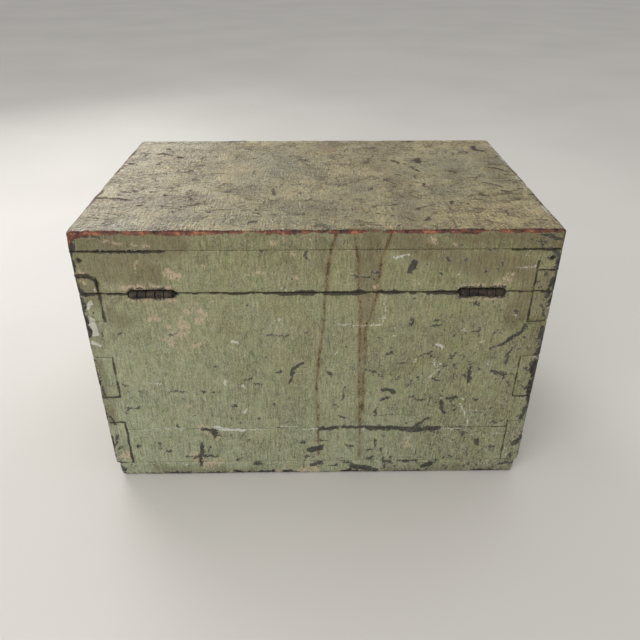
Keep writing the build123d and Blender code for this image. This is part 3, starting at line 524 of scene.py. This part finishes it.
SHELLS = {
    "lid": (LID_LOW, TOP_Z, 0.0, 0.0, 0.0),
    "walls": (BOTTOM_SEAM - 0.5, BODY_TOP, 0.0, 0.2, 5.0),
    "base": (0.0, BOTTOM_SEAM + 1.0, CASE_HIGH[0] - box_mm("bottom_board")[1][0], 2.0, 6.0),
}
FACE_OUT = np.array([(0, 1, 0), (0, 0, 1), (0, -1, 0), (-1, 0, 0), (1, 0, 0), (0, 0, -1)], float)
STOPPED = nail_mouths(["top_board_nails", "body_corner_nails", "bottom_board_nails"])
WEAR_REACH = 6.0  # how far in from the case's faces a board is worn
PAINT_REACH = 3.0  # how far round into the seams paint and its relief go
JOINT_PROBE = 4.2  # how far below the skin a board's own shape is looked up, to find its joints
FOOT, CORNER = 12.0, 14.0  # how far up the foot and out from the rear corners paint is worn through


def worn_board(node, voxel, shell):
    """A board of the case with its outside worn, and its marks written on its mesh for the paint to read."""
    field, first = level_set(node, voxel)
    raw = field.copy()
    stop_mouths(field, first, voxel, STOPPED)
    field -= SNUG.get(node, 0.12)
    cells = (np.abs(field) < 4 * voxel).nonzero()
    p = (np.stack(cells, 1) + first) * voxel
    near = face_depths(p).min(0) < WEAR_REACH
    cells, p = tuple(axis[near] for axis in cells), p[near].astype(np.float32)
    field[cells] = np.maximum(field[cells], worn_case(p, *SHELLS[shell]))
    mesh = to_mesh(node, field, first, voxel)

    p, normals = read(mesh.vertices, "co") / MM, read(mesh.vertices, "normal")
    skin = worn_case(p, *SHELLS[shell])
    face, arris = face_and_arris(p)
    x, y, z = p.T
    rounding = np.where(y > 0, 3.0, 7.5)
    upright_depth = -rounded_rectangle(x, y, HALF_X, (REAR_Y - CASE_LOW[1]) / 2, rounding)
    paint_depth = np.minimum(upright_depth, np.minimum(TOP_Z - z, z + 2.0))
    outside = ((skin > -0.35 * voxel) & (paint_depth < PAINT_REACH)).astype(np.float32)
    q = unrolled(p, face)
    ragged = frayed(frayed(q, 2.0, 5.0, 11), 1.1, 2.2, 61)
    wobbly = frayed(q, 3.0, 26.0, 17)
    chips = stroke_field(ragged, CHIPS)
    scuffs = stroke_field(frayed(q, 2.2, 6.0, 23), SCUFFS)
    pale = stroke_field(ragged, PALE)
    drips = stroke_field(frayed(q, 0.8, 14.0, 29), REAR_DRIPS)
    stains = stroke_field(wobbly, STAINS, far=-9.0)
    red = stroke_field(wobbly, RED, far=-9.0)
    joints = stroke_field(frayed(q, 0.5, 5.0, 67), REAR_JOINTS) + 0.1 + 0.7 * noise(p, 7, 2, shift=71)
    # The other faces' joints show wherever the board ends just below the skin.
    under = sample(raw, first, voxel, p - JOINT_PROBE * FACE_OUT[face])
    seam = np.where((arris > 5.5) & (outside > 0), 0.9 + under, NOWHERE)
    joints = np.maximum(joints, np.where(face == REAR, NOWHERE, seam))

    broad, patchy, nicked = noise(p, 70, 3, shift=31), noise(p, 16, 3, shift=37), noise(p, 5, 2, shift=59)
    rear, top = face == REAR, face == TOP
    from_low = face_depths(p)[UNDER]
    is_low_edge = (from_low < FOOT) & ~top
    line = np.where(rear & (z > TOP_Z - 9), 2.8 + 2.0 * patchy, 0.6 + 2.2 * patchy)
    line = np.where(top, 2.3 + 2.6 * patchy, line)
    upright = (arris < CORNER) & (np.abs(x) > HALF_X - CORNER) & (y > REAR_Y - CORNER) & ~top
    line = np.where(upright, np.where(x < 0, 2.4 + 9.0 * patchy, 2.0 + 7.0 * patchy), line)
    line = np.where(is_low_edge, 2.4 + 6.0 * patchy + 2.0 * nicked, line)
    edge = np.minimum(arris, np.where(is_low_edge & (shell == "base"), from_low + 2, arris))
    worn_edge = line - edge
    # The saw cut's edges are frayed, most of all from the middle of the rear to the right hinge.
    lips = np.where(z > SEAM, z - LID_LOW, BODY_TOP - z)
    between = smooth(-45, -5, -x) * (1 - smooth(98, 112, -x)) * rear
    lip = 0.15 + 1.2 * patchy + 2.0 * nicked + 0.85 * between - np.abs(lips)
    joints = np.maximum(joints, np.where((outside > 0) & (shell != "base"), lip, NOWHERE))

    # The paint's tone. On the rear it goes from cooler and lighter at the lower left to darker olive at the
    # upper right: partly the paint's own colour, partly painted shade.
    tone = np.select(
        [rear, top],
        [0.05 + 0.32 * (HALF_X - x) / (2 * HALF_X) + 0.62 * z / TOP_Z, 1.55 + 0.2 * broad],
        0.55 + 0.3 * z / TOP_Z,
    )
    tone = tone + 0.22 * broad
    foot = np.exp(-z / 40)
    end = np.exp((np.abs(x) - HALF_X) / 10)
    wear = np.select([rear, top], [0.25 + 0.4 * foot + 0.45 * end, 0.5 + 0.3 * end], 0.35 + 0.4 * foot)
    right = smooth(0, 90, -x) * rear * (z < 160)
    wear = wear + 0.4 * right + 0.35 * np.maximum(broad, -0.4)
    height = np.zeros(len(p), np.float32)  # the relief of the paint, in millimetres
    height -= 0.32 * smooth(-0.3, 0.5, chips)
    height -= 0.12 * smooth(-0.3, 0.8, scuffs)
    height -= 0.55 * smooth(-0.4, 0.4, joints)
    height += 0.14 * noise(p, (60, 60, 24), 2, shift=41) + 0.10 * noise(p, 6, 2, shift=43)
    moved = p + normals * (height * outside)[:, None]
    mesh.vertices.foreach_set("co", (moved * MM).astype(np.float32).ravel())

    values = {
        "chip": chips, "scuff": scuffs, "pale": pale, "drip": drips, "stain": stains, "red": red,
        "joint": joints, "arris": worn_edge, "tone": tone, "wear": wear, "skin": paint_depth + 0.6 * patchy,
    }
    for name, value in values.items():
        attribute = mesh.attributes.new(name, "FLOAT", "POINT")
        attribute.data.foreach_set("value", np.ascontiguousarray(value, np.float32))
    mesh.update()
    return add_object(mesh, node)


# --- Materials ---
def rgb(red, green, blue):
    """A colour from its 0 to 255 display values."""
    parts = [c / 255 for c in (red, green, blue)]
    return (*[c / 12.92 if c <= 0.04045 else ((c + 0.055) / 1.055) ** 2.4 for c in parts], 1.0)


class Finish:
    """One procedural material: a Principled shader and the nodes that feed it. Places are in millimetres."""

    def __init__(self, name):
        self.material = bpy.data.materials.new(name)
        self.material.use_nodes = True
        self.tree = self.material.node_tree
        self.tree.nodes.clear()
        output = self.tree.nodes.new("ShaderNodeOutputMaterial")
        self.shader = self.tree.nodes.new("ShaderNodeBsdfPrincipled")
        self.tree.links.new(self.shader.outputs[0], output.inputs["Surface"])
        coordinates = self.tree.nodes.new("ShaderNodeTexCoord").outputs["Object"]
        self.place = self.vector("MULTIPLY", coordinates, (1 / MM,) * 3)

    def put(self, socket, value):
        if isinstance(value, bpy.types.NodeSocket):
            self.tree.links.new(value, socket)
        else:
            socket.default_value = value

    def node(self, kind, settings, inputs):
        node = self.tree.nodes.new(kind)
        for key, value in settings.items():
            setattr(node, key, value)
        for key, value in inputs.items():
            self.put(node.inputs[key], value)
        return node

    def vector(self, operation, a, b):
        return self.node("ShaderNodeVectorMath", {"operation": operation}, {0: a, 1: b}).outputs[0]

    def math(self, operation, a, b=0.0, c=0.0):
        node = self.node("ShaderNodeMath", {"operation": operation}, {0: a, 1: b, 2: c})
        return node.outputs[0]

    def sum(self, *terms):
        """Adds sockets, or (socket, weight) pairs."""
        total = None
        for term in terms:
            value, weight = term if isinstance(term, tuple) else (term, 1.0)
            if total is None:
                total = self.math("MULTIPLY", value, weight)
            else:
                total = self.math("MULTIPLY_ADD", value, weight, total)
        return total

    def product(self, *terms):
        total = terms[0]
        for term in terms[1:]:
            total = self.math("MULTIPLY", total, term)
        return total

    def band(self, value, low, high, out_low=0.0, out_high=1.0):
        """Turns low..high into out_low..out_high with soft ends."""
        settings = {"interpolation_type": "SMOOTHSTEP"}
        ends = {"From Min": low, "From Max": high, "To Min": out_low, "To Max": out_high}
        return self.node("ShaderNodeMapRange", settings, {"Value": value, **ends}).outputs[0]

    def mix(self, factor, a, b, blend="MIX"):
        settings = {"data_type": "RGBA", "blend_type": blend}
        return self.node("ShaderNodeMix", settings, {0: factor, 6: a, 7: b}).outputs[2]

    def attribute(self, name):
        return self.node("ShaderNodeAttribute", {"attribute_name": name}, {}).outputs["Fac"]

    def noise(self, size, detail=2.0, roughness=0.55, distortion=0.0, turn=0.0):
        """Noise about its middle, -0.5 to 0.5; size is its grain in millimetres, one number or three."""
        sizes = size if isinstance(size, tuple) else (size,) * 3
        where = self.vector("MULTIPLY", self.place, tuple(1 / s for s in sizes))
        if turn:
            where = self.vector("ADD", where, (turn, turn * 1.7, turn * 0.6))
        inputs = {
            "Vector": where, "Scale": 1.0, "Detail": detail, "Roughness": roughness, "Distortion": distortion
        }
        value = self.node("ShaderNodeTexNoise", {}, inputs).outputs[0]
        return self.math("SUBTRACT", value, 0.5)

    def cells(self, size, feature="DISTANCE_TO_EDGE", warp=0.0):
        """Distance to the borders of irregular cells, in cell widths."""
        where = self.vector("MULTIPLY", self.place, tuple(1 / s for s in size))
        if warp:
            bend = self.node("ShaderNodeTexNoise", {}, {"Vector": where, "Scale": 1.3, "Detail": 2.0})
            bend = bend.outputs[1]
            bend = self.vector("MULTIPLY", self.vector("SUBTRACT", bend, (0.5,) * 3), (warp,) * 3)
            where = self.vector("ADD", where, bend)
        settings = {"feature": feature}
        cells = self.node("ShaderNodeTexVoronoi", settings, {"Vector": where, "Scale": 1.0})
        return cells.outputs["Distance"]

    def grey(self, value):
        return self.node("ShaderNodeCombineColor", {}, {0: value, 1: value, 2: value}).outputs[0]

    def height_above_base(self):
        return self.node("ShaderNodeSeparateXYZ", {}, {0: self.place}).outputs[2]

    def bump(self, height):
        """Relief from a height in millimetres."""
        inputs = {"Height": height, "Distance": MM, "Strength": 1.0}
        self.put(self.shader.inputs["Normal"], self.node("ShaderNodeBump", {}, inputs).outputs[0])

    def finish(self, colour, roughness, **constants):
        self.put(self.shader.inputs["Base Color"], colour)
        self.put(self.shader.inputs["Roughness"], roughness)
        for name, value in constants.items():
            self.shader.inputs[name.replace("_", " ")].default_value = value
        return self.material


def wood_layers(m, along):
    """Old bare wood with its grain along x or y: (colour, height)."""
    long, across = 90.0, 1.6
    size = (long, across, across) if along == "x" else (across, long, across)
    wide = (long * 2, 9.0, 9.0) if along == "x" else (9.0, long * 2, 9.0)
    pore_size = (14.0, 0.5, 0.5) if along == "x" else (0.5, 14.0, 0.5)
    grain = m.noise(size, 4.0, 0.6, 0.3)
    bands = m.noise(wide, 3.0, 0.5, 0.6, turn=3.0)
    pores = m.band(m.noise(pore_size, 1.0, 0.5, turn=5.0), 0.12, 0.26)
    soil = m.band(m.noise(38.0, 4.0, 0.6, turn=9.0), 0.0, 0.25)
    tone = m.band(m.sum((grain, 0.9), (bands, 1.3)), -0.35, 0.35)
    colour = m.mix(tone, WOOD_PALE, WOOD_DEEP)
    colour = m.mix(m.product(pores, 0.5), colour, WOOD_PORE)
    colour = m.mix(m.product(soil, 0.4), colour, WOOD_SOIL)
    return colour, m.sum((grain, 0.10), (pores, -0.06))


def painted(name, along, ridges, lean):
    """Old green paint over a dark coat over wood, read from the marks that a board's mesh carries."""
    m = Finish(name)
    fine = m.noise(1.5, 3.0, 0.65)
    blot = m.noise(4.5, 3.0, 0.6, turn=2.0)
    cloud = m.noise(28.0, 4.0, 0.6, turn=4.0)
    ridge = m.noise(ridges, 3.0, 0.6, 0.25, turn=6.0)
    grit = m.noise(0.7, 2.0, 0.7, turn=8.0)
    wood, wood_height = wood_layers(m, along)
    tone = m.attribute("tone")
    wear = m.attribute("wear")

    patch = m.noise((11.0, 11.0, 15.0), 5.0, 0.68, 0.5, turn=19.0)
    dapple = m.noise((5.0, 5.0, 8.0), 4.0, 0.7, 0.6, turn=21.0)
    colour = m.mix(m.band(m.sum(tone, (cloud, 0.8)), 0.0, 1.0), PAINT_COOL, PAINT_OLIVE)
    # On the top the tone reaches the top's own paint: browner with wear, and lighter as painted light.
    colour = m.mix(m.band(m.sum(tone, (cloud, 0.9)), 1.0, 1.9), colour, PAINT_TOP_BROWNED_AND_LIT if lean else PAINT_DUN)
    freshness = m.product(m.band(m.sum(patch, (dapple, 0.5)), 0.02, 0.20), 0.25 if lean else 0.55)
    colour = m.mix(freshness, colour, PAINT_FRESH)
    dulled = m.product(m.band(m.sum(patch, (dapple, -0.5)), -0.02, -0.22), 0.3 if lean else 0.5)
    colour = m.mix(dulled, colour, PAINT_WORN)
    pinkish = m.band(m.sum(m.noise(8.0, 5.0, 0.7, 0.8, turn=11.0), (wear, 0.10), (fine, 0.25)), 0.14, 0.27)
    colour = m.mix(m.product(pinkish, 0.42), colour, GROUND_PINK)
    deep = 1.6 if lean else 1.0
    shade = m.sum(
        (cloud, 0.2), (blot, 0.6 * deep), (ridge, 1.2 * deep), (fine, 1.5 * deep), (grit, 1.2 * deep),
        (dapple, 0.4),
    )
    ledge = m.band(m.height_above_base(), TOP_SEAM - 4, TOP_SEAM + 4)
    bright = m.math("ADD", m.sum(shade, (ledge, 0.0 if lean else -0.11)), 1.06)
    colour = m.mix(1.0, colour, m.grey(bright), "MULTIPLY")
    speck = m.noise((1.6, 1.6, 2.2), 2.0, 0.7, turn=23.0)
    light_speck = m.band(m.sum(speck, (patch, 0.25)), 0.17, 0.24)
    colour = m.mix(m.product(light_speck, 0.5), colour, GROUND_PALE)

    craze_size = (4.5, 3.2, 3.2) if lean else (2.4, 2.4, 9.0)
    craze = m.cells(craze_size, warp=1.6)
    wrinkle = m.noise((8.0, 2.6, 2.6) if lean else (2.6, 2.6, 6.0), 4.0, 0.65, 0.9, turn=25.0)
    craze_here = m.noise(22.0, 3.0, 0.6, turn=13.0)
    craze_here = m.band(m.sum(craze_here, (wear, 0.25)), 0.03 if lean else 0.05, 0.25)
    crack = m.product(m.band(craze, 0.0, 0.11, 1.0, 0.0), craze_here)
    furrow = m.band(m.sum(wrinkle, (craze_here, -0.05)), -0.11 if lean else -0.10, -0.20)
    crack = m.math("MAXIMUM", crack, furrow)
    vein_size = (30.0, 10.0, 10.0) if lean else (12.0, 12.0, 20.0)
    vein = m.math("ABSOLUTE", m.noise(vein_size, 4.0, 0.62, 1.0, turn=29.0))
    vein_here = m.band(m.sum(m.noise(26.0, 3.0, 0.6, turn=31.0), (blot, 0.6)), 0.02 if lean else 0.08, 0.14)
    vein = m.product(m.band(vein, 0.0, 0.065 if lean else 0.010, 1.0, 0.0), vein_here)
    crack = m.math("MAXIMUM", crack, vein)
    colour = m.mix(m.product(crack, 0.85 if lean else 0.38), colour, CRACK_BROWN)

    stain = m.band(m.sum(m.attribute("stain"), (blot, 7.0), (cloud, 9.0)), -4.0, 5.0)
    stain = m.product(stain, m.math("ADD", m.sum((dapple, 1.6), (fine, 0.8)), 0.75))
    colour = m.mix(m.product(stain, 0.45 if lean else 0.6), colour, STAIN_BROWN)
    red = m.band(m.sum(m.attribute("red"), (blot, 9.0), (cloud, 6.0)), -3.0, 3.0)
    colour = m.mix(m.product(red, 0.5), colour, GROUND_RED)
    drip = m.sum(m.attribute("drip"), (fine, 2.6), (blot, 3.0), (cloud, 3.0))
    colour = m.mix(m.product(m.band(drip, -1.3, 0.5), 0.36), colour, DRIP_BROWN)
    core = m.product(m.band(m.sum(drip, (fine, 3.0)), 0.35, 0.9), m.band(m.sum(patch, dapple), -0.16, 0.04))
    colour = m.mix(m.product(core, 0.85), colour, DRIP_DARK)

    clump = m.noise((2.3, 2.3, 3.6), 3.0, 0.65, 0.7, turn=27.0)
    rubbed = m.band(m.sum(m.attribute("scuff"), (blot, 4.0)), -1.6, 1.6)
    rubbed = m.product(rubbed, m.band(m.sum(clump, (rubbed, 0.09)), 0.04, 0.09))
    colour = m.mix(m.product(rubbed, 0.95), colour, SCUFF_TAN)
    chip = m.sum(m.attribute("chip"), (fine, 5.5), (blot, 3.0), (grit, 3.0))
    edge = m.product(m.band(chip, -0.75, -0.25), m.band(chip, -0.2, 0.1, 1.0, 0.0))
    colour = m.mix(m.product(edge, 0.42), colour, GROUND_PALE)
    flecks = m.noise((1.8, 1.8, 2.6), 3.0, 0.7, 0.4, turn=15.0)
    flecks = m.sum(flecks, (wear, 0.16), (cloud, 0.14), (dapple, 0.2))
    fleck = m.band(flecks, 0.235, 0.285)
    under = (UNDER_BROWN, UNDER_TAN) if lean else (UNDER_DARK, UNDER_GREY)
    dark = m.mix(m.band(m.sum(blot, fine), -0.2, 0.25), *under)
    loose = m.math("MAXIMUM", m.band(chip, -0.1, 0.25), m.product(fleck, 0.85))
    colour = m.mix(m.product(loose, 0.93), colour, dark)
    pale = m.band(m.sum(m.attribute("pale"), (fine, 3.4), (grit, 1.6), (blot, 1.2)), -0.1, 0.6)
    colour = m.mix(m.product(pale, 0.78), colour, PALE_SPLASH)

    rub = m.sum(m.attribute("arris"), (blot, 4.5), (fine, 2.5), (dapple, 3.0))
    bare = m.band(rub, 0.0, 0.6)
    bare_tone = m.noise((7.0, 7.0, 5.0), 3.0, 0.65, turn=17.0)
    ember = m.mix(m.band(m.sum(bare_tone, (fine, 0.5)), -0.15, -0.04), EDGE_BLACK, EDGE_RED)
    ember = m.mix(m.band(m.sum(bare_tone, (fine, 0.5)), 0.02, 0.16), ember, EDGE_ORANGE)
    low = m.band(m.height_above_base(), TOP_Z - 14, TOP_Z - 7)
    sooty = m.mix(m.band(bare_tone, -0.08, 0.06), EDGE_BLACK, UNDER_GREY)
    sooty = m.mix(m.band(m.sum(bare_tone, (fine, 0.4)), 0.08, 0.16), sooty, GROUND_PINK)
    ember = m.mix(low, sooty, ember)
    colour = m.mix(bare, colour, ember)
    joint = m.band(m.sum(m.attribute("joint"), (fine, 1.6), (blot, 1.6)), -0.25, 0.35)
    colour = m.mix(m.product(joint, 0.9), colour, JOINT_DARK)

    inside = m.band(m.sum(m.attribute("skin"), (blot, 2.0), (fine, 1.0)), 1.6, 2.3)
    colour = m.mix(inside, colour, wood)
    outside = m.math("SUBTRACT", 1.0, inside)
    relief = m.sum(
        (ridge, 3.8 if lean else 0.8), (wrinkle, 6.0 if lean else 0.6), (blot, 2.0 if lean else 0.3),
        (fine, 1.3 if lean else 0.3), (grit, 0.1),
        (crack, -0.8 if lean else -0.14), (loose, -0.18), (bare, -0.14), (rubbed, -0.06), (pale, 0.03),
        (joint, -0.25),
    )
    m.bump(m.sum((m.product(relief, outside), 1.0), (m.product(wood_height, inside), 1.0)))
    dull = 0.45 if lean else 0.15
    gloss = m.sum((cloud, 0.25), (blot, 0.15), (loose, dull), (rubbed, 0.12), (stain, 0.05), (crack, dull))
    roughness = m.math("ADD", gloss, 0.30 if lean else 0.52)
    roughness = m.sum((m.product(roughness, outside), 1.0), (inside, 0.72))
    return m.finish(colour, roughness, Specular_IOR_Level=0.45)


def iron(name, dark, light, rust, size=2.0, metallic=0.35, pits=0.10):
    """Iron under rust, dirt and old paint."""
    m = Finish(name)
    broad = m.noise(size * 3, 4.0, 0.65, 0.4)
    fine = m.noise(size * 0.35, 3.0, 0.65, turn=3.0)
    pit = m.band(m.noise(size * 0.5, 2.0, 0.6, turn=6.0), 0.08, 0.22)
    colour = m.mix(m.band(m.sum(broad, (fine, 0.5)), -0.18, 0.18), dark, light)
    colour = m.mix(m.product(m.band(m.sum(broad, fine), 0.02, 0.22), 0.6), colour, rust)
    colour = m.mix(m.product(pit, 0.5), colour, dark)
    m.bump(m.sum((broad, pits), (fine, pits * 0.6), (pit, -pits)))
    roughness = m.math("ADD", m.sum((broad, 0.3), (fine, 0.3), (pit, 0.15)), 0.62)
    return m.finish(colour, roughness, Metallic=metallic)


def steel(name):
    """Worked steel, handled bright in places, browned in others, with fine filing lines."""
    m = Finish(name)
    broad = m.noise(9.0, 4.0, 0.6, 0.5)
    spots = m.band(m.noise(2.2, 3.0, 0.65, turn=4.0), 0.10, 0.24)
    lines = m.noise((18.0, 0.25, 0.5), 2.0, 0.6, turn=7.0)
    fine = m.noise(0.6, 2.0, 0.6, turn=9.0)
    colour = m.mix(m.band(m.sum(broad, (fine, 0.3)), -0.2, 0.2), STEEL_DARK, STEEL_BRIGHT)
    colour = m.mix(m.product(spots, 0.65), colour, STEEL_BROWN)
    m.bump(m.sum((lines, 0.02), (broad, 0.03), (spots, -0.03)))
    roughness = m.math("ADD", m.sum((broad, 0.25), (spots, 0.25), (lines, 0.12)), 0.40)
    return m.finish(colour, roughness, Metallic=0.85)


def brass(name):
    """Brass gone dull and brown, rubbed brighter where hands reach it."""
    m = Finish(name)
    broad = m.noise(7.0, 4.0, 0.6, 0.6)
    spots = m.band(m.noise(1.6, 3.0, 0.65, turn=4.0), 0.12, 0.26)
    lines = m.noise((0.3, 12.0, 0.3), 2.0, 0.6, turn=7.0)
    colour = m.mix(m.band(broad, -0.15, 0.15), BRASS_DARK, BRASS_BRIGHT)
    colour = m.mix(m.product(spots, 0.6), colour, BRASS_BROWN)
    m.bump(m.sum((lines, 0.015), (broad, 0.04), (spots, -0.03)))
    roughness = m.math("ADD", m.sum((broad, 0.25), (spots, 0.3), (lines, 0.1)), 0.42)
    return m.finish(colour, roughness, Metallic=0.9)


def planed(name, along):
    """The till's unpainted wood: planed, handled and darkened, with ink and pencil spots."""
    m = Finish(name)
    colour, height = wood_layers(m, along)
    spots = m.band(m.noise(6.0, 4.0, 0.7, 0.8, turn=12.0), 0.20, 0.27)
    handled = m.noise(30.0, 3.0, 0.5, turn=14.0)
    scratch = m.cells((24.0, 40.0, 24.0), warp=1.4)
    scored = m.band(scratch, 0.0, 0.012, 1.0, 0.0)
    colour = m.mix(m.product(spots, 0.5), colour, WOOD_INK)
    colour = m.mix(m.product(scored, 0.35), colour, WOOD_PORE)
    m.bump(m.sum((height, 1.0), (scored, -0.10), (handled, 0.08)))
    roughness = m.math("ADD", m.sum((handled, 0.25), (spots, -0.05)), 0.66)
    return m.finish(colour, roughness)


# On the rear the step from cool to olive paint is partly painted shade, darker to the right and upwards.
PAINT_COOL = rgb(150, 154, 126)
PAINT_OLIVE = rgb(134, 130, 94)
PAINT_DUN = rgb(146, 130, 94)
# The top's paint: browner than the walls' with wear and dirt, and lighter as painted light, standing in for the
# brighter light on the top.
PAINT_TOP_BROWNED_AND_LIT = rgb(180, 163, 113)
PAINT_FRESH = rgb(122, 134, 88)
PAINT_WORN = rgb(146, 138, 116)
GROUND_PINK = rgb(172, 156, 134)
SCUFF_TAN = rgb(186, 168, 140)
GROUND_RED = rgb(150, 110, 84)
GROUND_PALE = rgb(176, 172, 146)
PALE_SPLASH = rgb(208, 206, 192)
CRACK_BROWN = rgb(68, 54, 36)
STAIN_BROWN = rgb(104, 90, 62)
DRIP_BROWN = rgb(122, 92, 50)
DRIP_DARK = rgb(72, 54, 32)
UNDER_DARK = rgb(40, 38, 36)
UNDER_GREY = rgb(76, 74, 66)
UNDER_BROWN = rgb(52, 40, 26)
UNDER_TAN = rgb(92, 74, 50)
EDGE_BLACK = rgb(44, 32, 28)
EDGE_RED = rgb(106, 62, 46)
EDGE_ORANGE = rgb(166, 106, 74)
JOINT_DARK = rgb(48, 38, 30)
WOOD_PALE = rgb(166, 135, 96)
WOOD_DEEP = rgb(118, 88, 58)
WOOD_PORE = rgb(78, 52, 34)
WOOD_SOIL = rgb(96, 76, 56)
WOOD_INK = rgb(54, 44, 44)
STEEL_DARK = rgb(92, 88, 84)
STEEL_BRIGHT = rgb(168, 164, 156)
STEEL_BROWN = rgb(74, 54, 42)
BRASS_DARK = rgb(112, 86, 46)
BRASS_BRIGHT = rgb(190, 152, 84)
BRASS_BROWN = rgb(70, 50, 30)
HINGE_DARK = rgb(26, 22, 20)
HINGE_LIGHT = rgb(70, 61, 50)
HINGE_RUST = rgb(92, 68, 50)
NAIL_DARK = rgb(34, 31, 30)
NAIL_LIGHT = rgb(72, 66, 60)

WALL_RIDGES, TOP_RIDGES = (1.5, 1.5, 10.0), (1.4, 8.0, 1.4)
PAINTED = {
    "long_wall": painted("green_paint_long_wall", "x", WALL_RIDGES, False),
    "side_wall": painted("green_paint_side_wall", "y", WALL_RIDGES, False),
    # The top's material carries painted light: its paint is lighter than the walls' as if lit more.
    "top": painted("green_paint_top_with_painted_light", "x", TOP_RIDGES, True),
}
HINGE_IRON = iron("rusted_hinge_iron", HINGE_DARK, HINGE_LIGHT, HINGE_RUST)
NAIL_IRON = iron("nail_iron", NAIL_DARK, NAIL_LIGHT, HINGE_RUST, size=1.2, metallic=0.5, pits=0.05)
LOCK_STEEL = steel("lock_steel")
OLD_BRASS = brass("old_brass")
PLANED_X, PLANED_Y = planed("planed_wood_x", "x"), planed("planed_wood_y", "y")

BOARDS = {
    "top_board": (1.3, "lid", "top"),
    "lid_rear_rail": (1.0, "lid", "long_wall"),
    "lid_front_rail": (1.3, "lid", "long_wall"),
    "lid_left_rail": (1.3, "lid", "side_wall"),
    "lid_right_rail": (1.3, "lid", "side_wall"),
    "rear_wall": (1.2, "walls", "long_wall"),
    "rear_wall_strip": (1.2, "walls", "long_wall"),
    "front_wall": (1.3, "walls", "long_wall"),
    "left_wall": (1.4, "walls", "side_wall"),
    "right_wall": (1.4, "walls", "side_wall"),
    "bottom_board": (1.6, "base", "long_wall"),
}
UPRIGHT_BELOW = 0.6  # the top board's edges, by how little they face up, carry the walls' paint
for node, (voxel, shell, paint) in BOARDS.items():
    board = worn_board(node, voxel, shell)
    board.data.materials.append(PAINTED[paint])
    if paint == "top":
        board.data.materials.append(PAINTED["long_wall"])
        upright = np.abs(read(board.data.polygon_normals, "vector")[:, 2]) < UPRIGHT_BELOW
        board.data.polygons.foreach_set("material_index", upright.astype(np.int32))


# --- Metal and the till ---
def corroded(node, voxel, depth, material):
    """A small iron part, its surface eaten and lumpy."""
    field, first = level_set(node, voxel)
    cells = (np.abs(field) < 3 * voxel).nonzero()
    p = ((np.stack(cells, 1) + first) * voxel).astype(np.float32)
    eaten = depth * (noise(p, 1.6, 3, shift=47) + 0.8 * smooth(0.35, 0.8, noise(p, 3.2, 2, shift=53)))
    field[cells] += np.maximum(eaten, 0) + 0.6 * depth
    mesh = to_mesh(node, field, first, voxel)
    mesh.materials.append(material)
    return add_object(mesh, node)


for side in ("left", "right"):
    for leaf in ("body_hinge_leaf_", "lid_hinge_leaf_"):
        corroded(leaf + side, 0.25, 0.22, HINGE_IRON)
    corroded("hinge_pin_" + side, 0.2, 0.12, HINGE_IRON)

FINISHES = {
    "hinge_iron": HINGE_IRON, "nail_iron": NAIL_IRON, "lock_steel": LOCK_STEEL, "brass": OLD_BRASS,
}
ACROSS_TILL = (
    "till_left_end", "till_right_end", "till_coin_dividers", "till_note_divider", "till_runner_left",
    "till_runner_right",
)
ROUNDED = 0.4 * MM
for part in frame["record"]["subparts"]:
    node, slot = part["node"], part["material_slot"]
    piece = frame["nodes"][node]
    if piece.hide_render:
        continue
    material = FINISHES.get(slot) or (PLANED_Y if node in ACROSS_TILL else PLANED_X)
    piece.data.materials.clear()
    piece.data.materials.append(material)
    if slot == "bare_wood":
        eased = piece.modifiers.new("eased edges", "BEVEL")
        eased.width = ROUNDED
        eased.segments = 2
        eased.limit_method = "ANGLE"
        eased.angle_limit = math.radians(50)
        eased.harden_normals = True


# --- Floor, light and camera ---
def floor():
    mesh = bpy.data.meshes.new("floor")
    reach = 12.0
    corners = [(-reach, -reach, 0), (reach, -reach, 0), (reach, reach, 0), (-reach, reach, 0)]
    mesh.from_pydata(corners, [], [(0, 1, 2, 3)])
    plane = bpy.data.objects.new("floor", mesh)
    bpy.context.scene.collection.objects.link(plane)
    m = Finish("pale_floor")
    cloud = m.noise(400.0, 2.0, 0.5)
    mesh.materials.append(m.finish(m.mix(m.band(cloud, -0.3, 0.3), FLOOR_LOW, FLOOR_HIGH), 0.6))


def panel(name, place, aim, width, height, watts, colour=(1.0, 1.0, 1.0), spread=180):
    light = bpy.data.lights.new(name, "AREA")
    light.shape = "RECTANGLE"
    light.size, light.size_y = width, height
    light.energy = watts
    light.spread = math.radians(spread)
    light.color = colour
    lamp = bpy.data.objects.new(name, light)
    lamp.location = place
    lamp.rotation_euler = (Vector(aim) - Vector(place)).to_track_quat("-Z", "Y").to_euler()
    lamp.visible_camera = False
    bpy.context.scene.collection.objects.link(lamp)


FLOOR_LOW, FLOOR_HIGH = rgb(198, 195, 190), rgb(206, 203, 198)
floor()
panel("window", (1.0, -1.5, 0.85), (0.1, 0.0, 0.2), 1.35, 1.0, 4.6, (1.0, 0.98, 0.95), 75)
panel("fill_behind_camera", (1.2, 1.7, 1.4), (0.0, 0.1, 0.1), 1.6, 1.4, 25.0, (1.0, 0.99, 0.98))
panel("overhead", (0.0, -0.3, 2.2), (0.0, 0.0, 0.0), 2.0, 2.0, 12.0)

world = bpy.data.worlds.new("soft surroundings")
world.use_nodes = True
background = world.node_tree.nodes["Background"]
background.inputs["Color"].default_value = (0.93, 0.92, 0.91, 1.0)
background.inputs["Strength"].default_value = 0.62
scene = bpy.context.scene
scene.world = world
scene.view_settings.view_transform = "Standard"

# Where the photograph was taken from: fitted to the box's corners in it, in metres.
EYE, LOOK = (0.00309, 0.52132, 0.39898), (-0.01105, -0.8497, -0.509)
LENS, SENSOR = 35.25, 36.0
camera = bpy.data.cameras.new("camera")
camera.lens = LENS
camera.sensor_width = SENSOR
eye = bpy.data.objects.new("camera", camera)
eye.location = EYE
eye.rotation_euler = Vector(LOOK).to_track_quat("-Z", "Y").to_euler()
scene.collection.objects.link(eye)
scene.camera = eye

bpy.context.view_layer.update()
